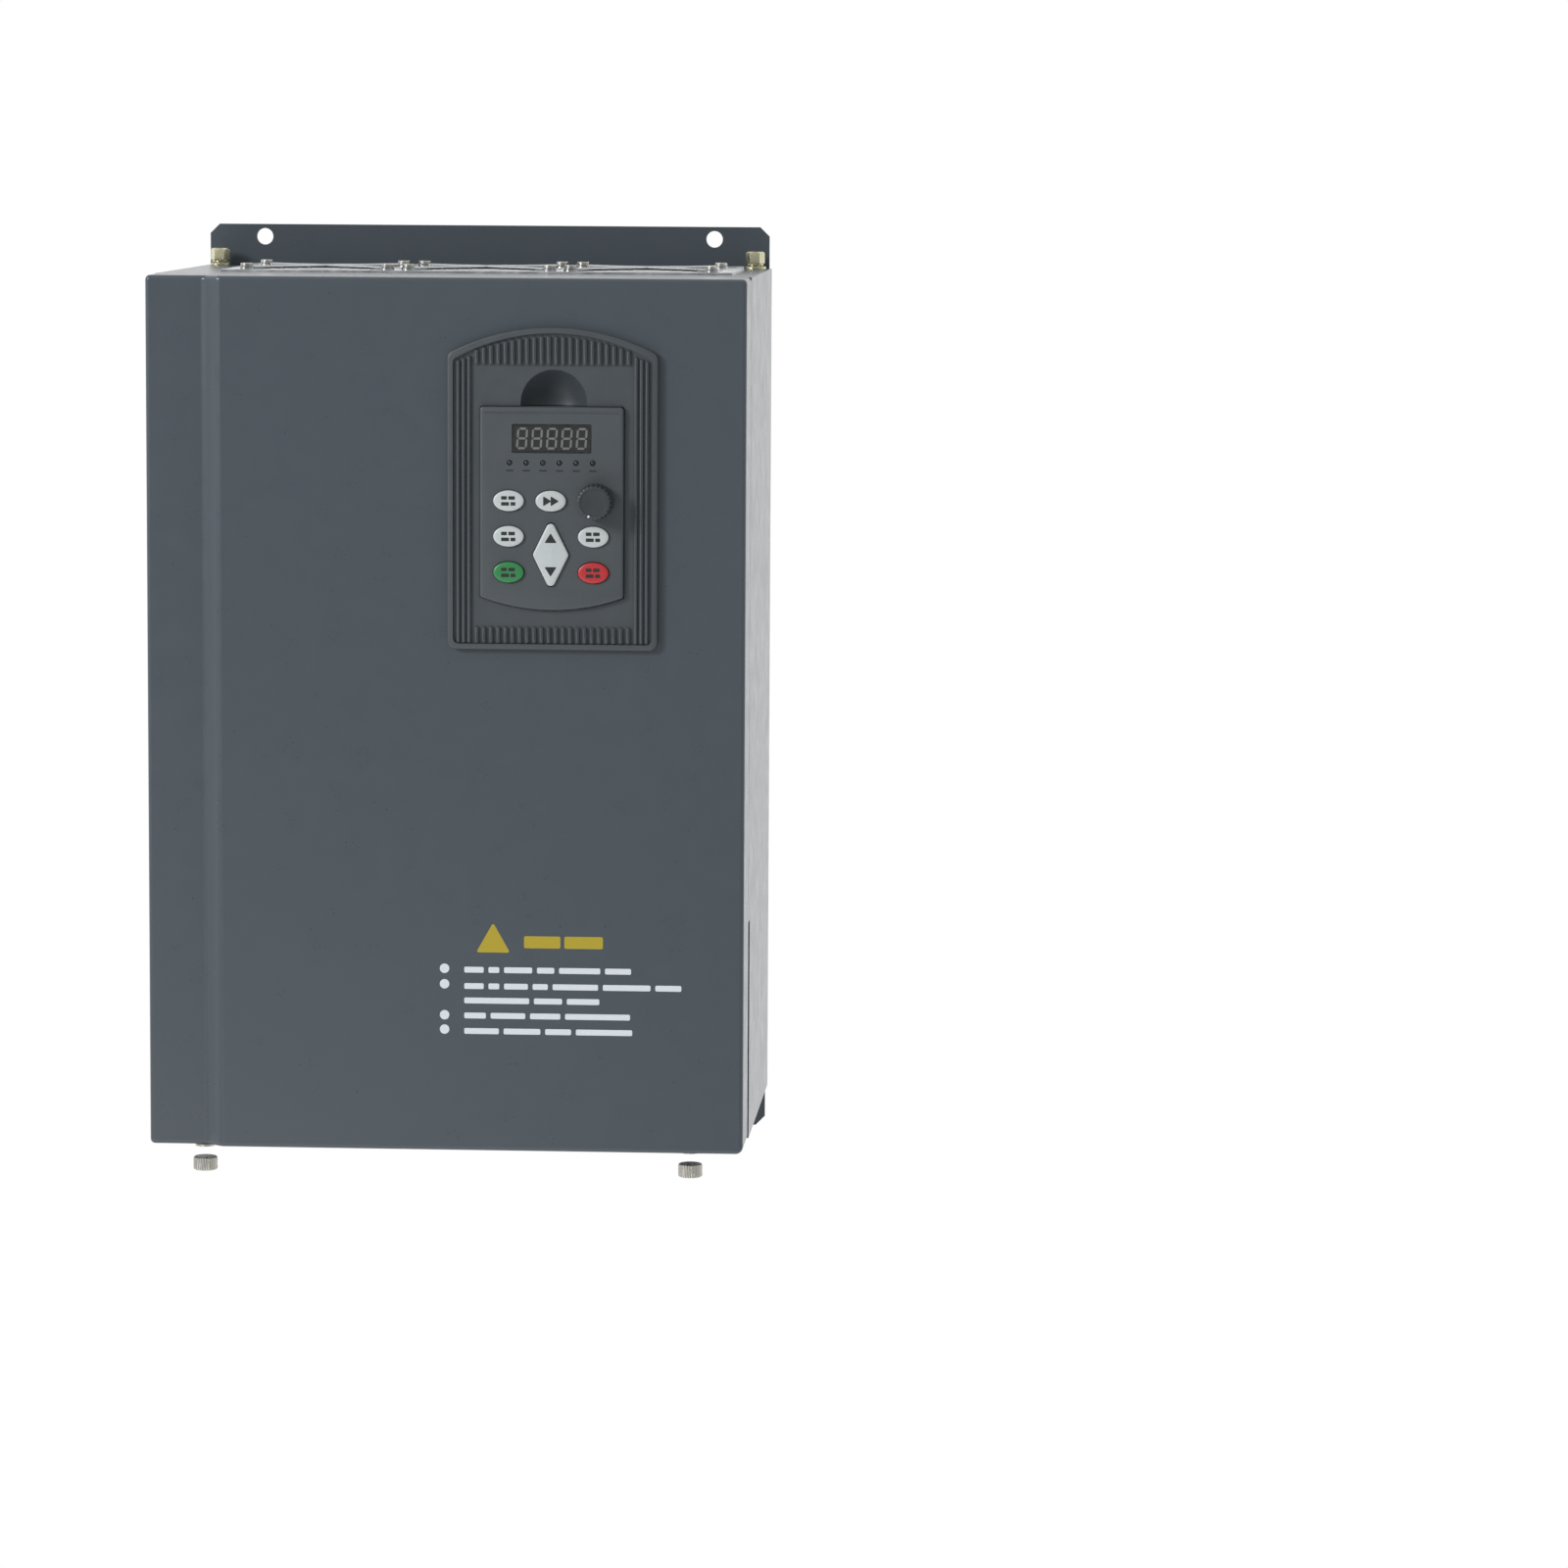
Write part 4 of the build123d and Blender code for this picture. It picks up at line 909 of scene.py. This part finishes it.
def add_keys():
    """Six oval keys with rounded edges, each with its legend as plain bars or arrows."""
    inner = FACE_Y + SKIN
    stem_end = limits("key_menu")[1][1]
    for name in OVAL_KEYS:
        at = middle(name)
        rings = [(1.0, inner + 1.3), (1.0, inner + 0.3), (0, inner + 0.3)]
        rings += [(grow, KEY_FRONT + back) for grow, back in CAP_EDGE]
        cap = Form().loft([at_depth(ellipse(at.x, at.z, KEY_RX + g, KEY_RZ + g), y) for g, y in rings])
        add_stem(cap, at.x, at.z, stem_end)
        material, slot = KEY_COLOURS.get(name, (WHITE_KEY, "white_key"))
        piece(cap, f"{name}_cap", name, material, [name])
        legend = Form()
        depth = legend_depth(KEY_FRONT)
        if name == "key_shift":
            for shift in (-1.5, 1.9):
                legend.plate(triangle(at.x + shift, at.z, 2.3, 3.8, "right"), *depth)
        else:
            for x, z, half in LEGEND_BARS:
                mid, level = at.x + x, at.z + z
                bar = rectangle(about(mid, half), about(level, 0.8), 0.2, 2)
                legend.plate(bar, *depth)
        piece(legend, f"{name}_legend", name, DARK_INK)


def add_diamond_key():
    """The rocker key, with a bar behind it, two stems and two arrows."""
    inner = FACE_Y + SKIN
    outline = diamond_outline(0)
    rings = [(0, inner + 1), (0, KEY_FRONT + 0.6), (0.12, KEY_FRONT + 0.3), (0.4, KEY_FRONT + 0.1),
             (1.0, KEY_FRONT)]
    key = Form().loft([at_depth(inset(outline, g), y) for g, y in rings])
    at = middle("key_up_down")
    key.box(about(at.x, 6), (inner + 0.6, inner + 1.6), about(at.z, 10.5), 0.2)
    stem_end = limits("key_up_down")[1][1]
    for shift in (-STEM_SHIFT, STEM_SHIFT):
        add_stem(key, at.x, at.z + shift, stem_end)
    piece(key, "key_up_down_cap", "key_up_down", WHITE_KEY, ["key_up_down"])
    arrows = Form()
    for shift, way in ((STEM_SHIFT, "up"), (-STEM_SHIFT, "down")):
        arrows.plate(triangle(at.x, at.z + shift, 2.8, 4.4, way), *legend_depth(KEY_FRONT))
    piece(arrows, "key_up_down_legend", "key_up_down", DARK_INK)


KNOB_R = 8.3
SHAFT_R = 2.97
FLUTES = 24
POINTER_ANGLE = -110
POINTER_R = 6.6
DOT_R = 0.55


def add_knob():
    """A fluted knob with a dished end, a pointer mark and its shaft."""
    at = middle("knob")
    _, y, _ = limits("knob")
    base = FACE_Y - 0.4
    r, tip = KNOB_R, y[0]
    # Each section is a radius, a depth and how deep the flutes are cut there.
    sections = [(r, base, 0), (r, base - 1.6, 0), (r - 0.1, base - 2.0, 0.5)]
    sections += [(r - 0.45, tip + 0.9, 0.5), (r - 0.75, tip + 0.3, 0.35), (r - 1.25, tip, 0.1)]
    sections += [(r - 2.0, tip, 0), (r - 2.5, tip + 0.5, 0), (1.0, tip + 0.7, 0)]
    rings = []
    for radius, depth, flute in sections:
        ring = []
        for a in around(8 * FLUTES):
            dip = flute * max(0, math.cos(FLUTES * a)) ** 2
            reach = radius - dip
            ring.append((at.x + reach * math.cos(a), depth, at.z + reach * math.sin(a)))
        rings.append(ring)
    knob = Form().loft(rings)
    knob.rod((at.x, base - 1, at.z), (at.x, y[1], at.z), SHAFT_R, 32, 0.3)
    piece(knob, "knob_grip", "knob", KNOB_PLASTIC, ["knob"])
    a = math.radians(POINTER_ANGLE)
    mark = (at.x + POINTER_R * math.cos(a), at.z + POINTER_R * math.sin(a))
    pointer = Form().plate(ellipse(*mark, DOT_R, DOT_R, 20), tip - 0.02, tip + 0.3)
    piece(pointer, "knob_pointer", "knob", WHITE_INK)


# ------------ fasteners
WASHER_R = 5.2
WASHER_HOLE_R = 2.7
HEAD_R = 4.0
BOLT_R = 2.5
COIL_R = 3.4
COIL_WIRE_R = 0.7


def add_hex_bolts():
    """Hexagon bolts with split lock washers and flat washers at the rear corners of the top."""
    x, y, z = limits("top_hex_bolts")
    top, seat = z[1], limits("top_panel")[2][1]
    half_side = math.radians(30)
    bolts = Form()
    washers = Form()
    for cx in widened(x, -WASHER_R):
        cy = sum(y) / 2
        head = []
        for height, share in ((seat + 2.8, 0), (top - 0.9, 0), (top - 0.35, 0.4), (top, 1)):
            ring = []
            for k in range(72):
                a = math.radians(5 * k)
                flat = HEAD_R / math.cos((a + half_side) % (2 * half_side) - half_side)
                r = flat + (HEAD_R - 0.3 - flat) * share
                ring.append((cx + r * math.sin(a), cy + r * math.cos(a), height))
            head.append(ring)
        bolts.loft(head)
        bolts.rod((cx, cy, z[0]), (cx, cy, seat + 3), BOLT_R, 24, 0.3)
        rim, hole = WASHER_R - 0.1, WASHER_HOLE_R
        disc = [(hole, 0), (rim, 0), (WASHER_R, 0.1), (WASHER_R, 1.1), (rim, 1.2), (hole, 1.2)]
        washers.lathe((cx, cy, seat), (0, 0, 1), disc, 48)
        coil = []
        for k in range(41):
            a = math.radians(8 + 344 * k / 40)
            rise = seat + 1.75 + 0.5 * k / 40
            coil.append((cx + COIL_R * math.cos(a), cy + COIL_R * math.sin(a), rise))
        washers.tube(coil, COIL_WIRE_R, 8)
    piece(bolts, "top_bolt_heads", "chassis", YELLOW_ZINC, ["top_hex_bolts"], 0.1)
    piece(washers, "top_bolt_washers", "chassis", YELLOW_ZINC)


KNURLS = 30
# The head: radius, height above its lower end, and how deep the knurling is there.
KNURLED_HEAD = ((4.9, 0, 0), (5.45, 0.35, 0.05), (5.6, 0.8, 0.3), (5.6, 5.4, 0.3), (5.45, 5.85, 0.05),
                (4.9, 6.2, 0))
# The neck and shank: radius, and height from the cover's lower edge.
NECK = ((2.8, -2.6), (4.1, -2.4), (4.2, -2.3), (4.2, -1.45), (4.1, -1.35), (2.5, -1.35), (2.5, 9.6),
        (2.1, 10))
THREADS = 7
THREAD_PITCH = 0.8


def add_thumb_screws():
    """Captive screws with knurled heads, straight-sided necks and a driver slot."""
    for side in ("left", "right"):
        name = f"thumb_screw_{side}"
        at = middle(name)
        _, _, z = limits(name)
        bottom, seat = z[0], COVER_Z[0]
        rings = []
        for radius, height, depth in KNURLED_HEAD:
            ring = []
            for a in around(180):
                r = radius - depth * (0.5 + 0.5 * math.cos(KNURLS * a))
                ring.append((at.x + r * math.cos(a), at.y + r * math.sin(a), bottom + height))
            rings.append(ring)
        body = Form().loft(rings)
        neck = [(2.8, bottom + 6.0)] + [(r, seat + height) for r, height in NECK]
        body.lathe((at.x, at.y, 0), (0, 0, 1), neck, 40)
        for k in range(THREADS):
            body.ring((at.x, at.y, seat + 3.4 + THREAD_PITCH * k), 2.32, 0.17, 32, 6)
        screw = body.to_object(f"thumb_screw_{side}_knurled", NICKEL)
        slot = Form().box(about(at.x, 7), about(at.y, 0.6), (bottom - 1, bottom + 1.6))
        cut(screw, [slot])
        smooth(screw, 30)
        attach(screw, name)
        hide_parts(name)


# ------------ inside the case
# A place on a board is the middle and half the width and height of what stands there.
def free_places(count, x, z, half, taken, apart, dice):
    """Seeded places on a board, clear of what stands there already; each one is then taken too."""
    places = []
    for _ in range(count * 40):
        cx, cz = dice.uniform(*x), dice.uniform(*z)
        wide, tall = half if dice.random() < 0.5 else half[::-1]
        if all(abs(cx - tx) > wide + tw + apart or abs(cz - tz) > tall + th + apart
               for tx, tz, tw, th in taken):
            taken.append((cx, cz, wide, tall))
            places.append((cx, cz, wide, tall))
        if len(places) == count:
            break
    return places


def footprint(node):
    """A node's place on its board, with a margin of 1.5 mm."""
    x, _, z = (widened(pair, 1.5) for pair in limits(node))
    return sum(x) / 2, sum(z) / 2, (x[1] - x[0]) / 2, (z[1] - z[0]) / 2


BOARD_EDGE = 5
LEG_PITCH = 1.27
RESISTOR_HALF = (3.4, 1.2)
BLOCK_HALF = (5.2, 2.6)
CAN_HALF = (3.2, 3.2)


def add_board_parts(board, taken, seed, sizes):
    """Chips with legs, film resistors, ceramic blocks and small cans on the front of a board."""
    dice = random.Random(seed)
    x, y, z = limits(board)
    x, z = widened(x, -BOARD_EDGE), widened(z, -BOARD_EDGE)
    face = y[0] + 0.1
    chips, legs, resistors, blocks, cans = (Form() for _ in range(5))
    for half, count in sizes["chips"]:
        for cx, cz, wide, tall in free_places(count, x, z, half, taken, 2.0, dice):
            chips.box(about(cx, wide - 1), (face - 2.2, face - 0.4), about(cz, tall - 1), 0.25)
            ways = int(2 * max(wide, tall) / LEG_PITCH) - 2
            for k in range(ways):
                step = LEG_PITCH * (k + 0.5 - ways / 2)
                for side in (-1, 1):
                    if wide >= tall:
                        lx, lz, half_x, half_z = cx + step, cz + side * (tall - 0.6), 0.2, 0.6
                    else:
                        lx, lz, half_x, half_z = cx + side * (wide - 0.6), cz + step, 0.6, 0.2
                    legs.box(about(lx, half_x), (face - 1, face), about(lz, half_z))
    body = [(0.7, 0), (1.1, 0.4), (0.95, 1.2), (0.95, 3.6), (1.1, 4.4), (0.7, 4.8)]
    for cx, cz, wide, tall in free_places(sizes["resistors"], x, z, RESISTOR_HALF, taken, 0.8, dice):
        run = Vector((1, 0, 0)) if wide > tall else Vector((0, 0, 1))
        at = Vector((cx, face - 1.3, cz))
        resistors.lathe(at - run * 2.4, run, body, 16)
        legs.rod(at - run * 3.6, at + run * 3.6, 0.3, 8)
    for cx, cz, wide, tall in free_places(sizes["blocks"], x, z, BLOCK_HALF, taken, 1.0, dice):
        depth = (face - dice.uniform(4, 8), face)
        blocks.box(about(cx, wide), depth, about(cz, tall), 0.5)
    for cx, cz, _, _ in free_places(sizes["cans"], x, z, CAN_HALF, taken, 1.0, dice):
        high = dice.uniform(6, 10)
        profile = [(3.0, 0), (3.0, high - 0.5), (2.6, high), (2.1, high), (1.9, high - 0.25)]
        cans.lathe((cx, face, cz), (0, -1, 0), profile, 24)
    for form, what, material, slot in (
            (chips, "chips", EPOXY, "module_epoxy"),
            (legs, "pins", TIN, "nickel"),
            (resistors, "resistors", RESISTOR, "terminal_plastic"),
            (blocks, "film_capacitors", CERAMIC, "terminal_plastic"),
            (cans, "small_cans", SLEEVE, "capacitor_sleeve")):
        piece(form, f"{board}_{what}", "chassis", material)


CAN_XS = (-108, -68, -28)
CAN_ZS = (66, 108)
CAN_TOP_R = 15
VENT_REACH = 11
WINDING_INSET = 5.7  # from the transformer's ends to its winding
TERMINALS = 9
TERMINAL_R = 6
STRIP_WAYS = 20
STRIP_PITCH = 5.28
STRIP_START = (10.84, -181.6, -84)
RIBBON_PITCH = 1.2
POWER_PARTS = {"chips": [((9, 4.5), 5), ((6, 3.6), 8)], "resistors": 60, "blocks": 26, "cans": 14}
CONTROL_PARTS = {"chips": [((8, 8), 2), ((7, 4), 6), ((4, 3), 10)], "resistors": 70, "blocks": 8,
                 "cans": 12}


def spots(xs, zs, half):
    return [(x, z, half, half) for x in xs for z in zs]


def add_both_boards():
    """Small parts on both boards, kept off the stand-offs, sockets and busbars."""
    tall_parts = ("soft_start_relay", "switching_transformer", "bus_capacitors", "current_sensors")
    taken = [footprint(node) for node in tall_parts]
    taken += [(-20, -47, 5, 16), (0, -116, 128, 8), (0, 134, 6, 6), (0, -120, 6, 6)]
    taken += spots((-122, 122), (-120, -5, 134), 6) + spots((1, 121), (-85, 99), 5)
    add_board_parts("power_board", taken, 11, POWER_PARTS)
    taken = [(61, -84, 56, 8), (49, 93, 11, 9), (8, -47, 5, 16)] + spots((1, 121), (-85, 99), 5)
    add_board_parts("control_board", taken, 23, CONTROL_PARTS)


def add_capacitor_tops():
    """A disc on each capacitor with three ridges where it would vent."""
    tops = Form()
    disc = [(CAN_TOP_R, 0), (CAN_TOP_R, 0.6), (CAN_TOP_R - 0.4, 0.75)]
    front = limits("bus_capacitors")[1][0]
    for cx in CAN_XS:
        for cz in CAN_ZS:
            tops.lathe((cx, front + 0.5, cz), (0, -1, 0), disc, 48)
            for turn in range(3):
                a = math.radians(90 + 120 * turn)
                tip = (cx + VENT_REACH * math.cos(a), front - 0.3, cz + VENT_REACH * math.sin(a))
                tops.rod((cx, front - 0.3, cz), tip, 0.35, 8)
    piece(tops, "capacitor_tops", "chassis", TIN)


def add_transformer_tape():
    """Yellow tape over the winding, with a band near each end."""
    tape = Form()
    x, y, z = limits("switching_transformer")
    winding = widened(x, -WINDING_INSET)
    tape.box(winding, (y[0] - 0.2, y[0] + 6), widened(z, 0.2), 2.0, 3)
    for cz in widened(z, -3):
        tape.box(widened(winding, 0.3), (y[0] - 0.35, y[0] + 5), about(cz, 1.2), 0.3)
    piece(tape, "transformer_tape", "chassis", TAPE)


def add_ribbon_ridges():
    """A ridge for each wire, on the ribbon cable's two long flats."""
    ridges = Form()
    x, y, z = limits("ribbon_cable")
    side, front = x[0] + 2.3, y[0] - 0.1
    for k in range(STRIP_WAYS):
        level = z[0] + 1.6 + RIBBON_PITCH * (k + 0.5)
        ridges.rod((side, -150, level), (side, -180, level), 0.45, 8)
        ridges.rod((-16, front, level), (4, front, level), 0.45, 8)
    piece(ridges, "ribbon_ridges", "chassis", RIBBON)


def add_terminal_screws():
    """Black bars as painted shade for the main terminals' cross slots, and the control terminals'
    small slotted screws.
    """
    slots = Form()
    x, y, z = limits("terminal_screws")
    # painted shade: each cross slot is a black bar standing proud of the nickel head, in place of the
    # shade inside a recess
    for along in spread(x, TERMINAL_R, TERMINALS):
        at = Vector((along, y[0] + 0.2, sum(z) / 2))
        for turn in (45, 135):
            a = math.radians(turn)
            reach = Vector((math.cos(a), 0, math.sin(a))) * 2.6
            slots.rod(at - reach, at + reach, 0.45, 8)
    piece(slots, "terminal_screw_slot_shade", "chassis", BLACK_PLASTIC)
    heads = Form()
    for k in range(STRIP_WAYS):
        at = Vector(STRIP_START) + Vector((STRIP_PITCH * k, 0, 0))
        heads.lathe(at, (0, -1, 0), [(1.6, 0), (1.6, 0.9), (1.3, 1.1)], 20)
        heads.rod(at + Vector((-1.2, -1.1, 0)), at + Vector((1.2, -1.1, 0)), 0.2, 8)
    piece(heads, "control_strip_screws", "chassis", NICKEL)


def add_hub_discs():
    for side in ("left", "middle", "right"):
        at = middle(f"impeller_{side}")
        top = limits(f"impeller_{side}")[2][1]
        place = (at.x, at.y, top - 0.05)
        label = Form().lathe(place, (0, 0, 1), [(13, 0), (13, 0.12), (12.8, 0.15)], 48)
        piece(label, f"fan_hub_disc_{side}", f"impeller_{side}", TIN)


# ------------ carried-over CAD pieces
def finish_cad_nodes():
    """Every CAD piece that still shows gets its material, and small rounded edges."""
    looks = {
        (PAINT, 0.3): "rear_panel left_side_panel right_side_panel top_panel bottom_panel",
        (NICKEL, 0.3): "clinch_nuts terminal_screws fan_screws",
        (NICKEL, 0.2): "board_standoffs",
        (NICKEL, 0.15): "thumb_washer_left thumb_washer_right",
        (ZINC, 0.2): "fan_tray air_baffles control_shield",
        (YELLOW_ZINC, 0.2): "earth_studs",
        (ALUMINIUM, 0.25): "heatsink",
        (COPPER, 0.3): "busbars",
        (CHROME, 0): "finger_guard_left finger_guard_middle finger_guard_right",
        (EPOXY, 0.8): "power_modules",
        (EPOXY, 0.6): "current_sensors",
        (MASK_GREEN, 0.1): "power_board control_board keypad_board",
        (SLEEVE, 1.2): "bus_capacitors",
        (TERMINAL, 0.4): "main_terminal_block",
        (RELAY, 0.8): "soft_start_relay",
        (FERRITE, 0.5): "switching_transformer",
        (RUBBER, 0.6): "cable_grommets",
        (CONNECTOR, 0.2): "control_connectors",
        (RIBBON, 0.2): "ribbon_cable",
        (PAD_PLASTIC, 0.4): "keypad_back",
        (WINDOW, 0.12): "display_window",
        (BLACK_PLASTIC, 0.2): "led_display tact_switches impeller_left impeller_middle impeller_right",
        (BLACK_PLASTIC, 0.3): "tray_socket potentiometer keypad_plug fan_frame_left fan_frame_middle "
                              "fan_frame_right",
    }
    for (material, soft), nodes in looks.items():
        for node in nodes.split():
            finish_node(node, material, soft)


add_camera()
add_studio()
add_front_cover()
add_notice()
add_keypad_tray()
add_tray_ribs()
add_keypad_shell()
add_status_leds()
add_digits()
add_keys()
add_diamond_key()
add_knob()
add_hex_bolts()
add_thumb_screws()
add_both_boards()
add_capacitor_tops()
add_transformer_tape()
add_ribbon_ridges()
add_terminal_screws()
add_hub_discs()
finish_cad_nodes()
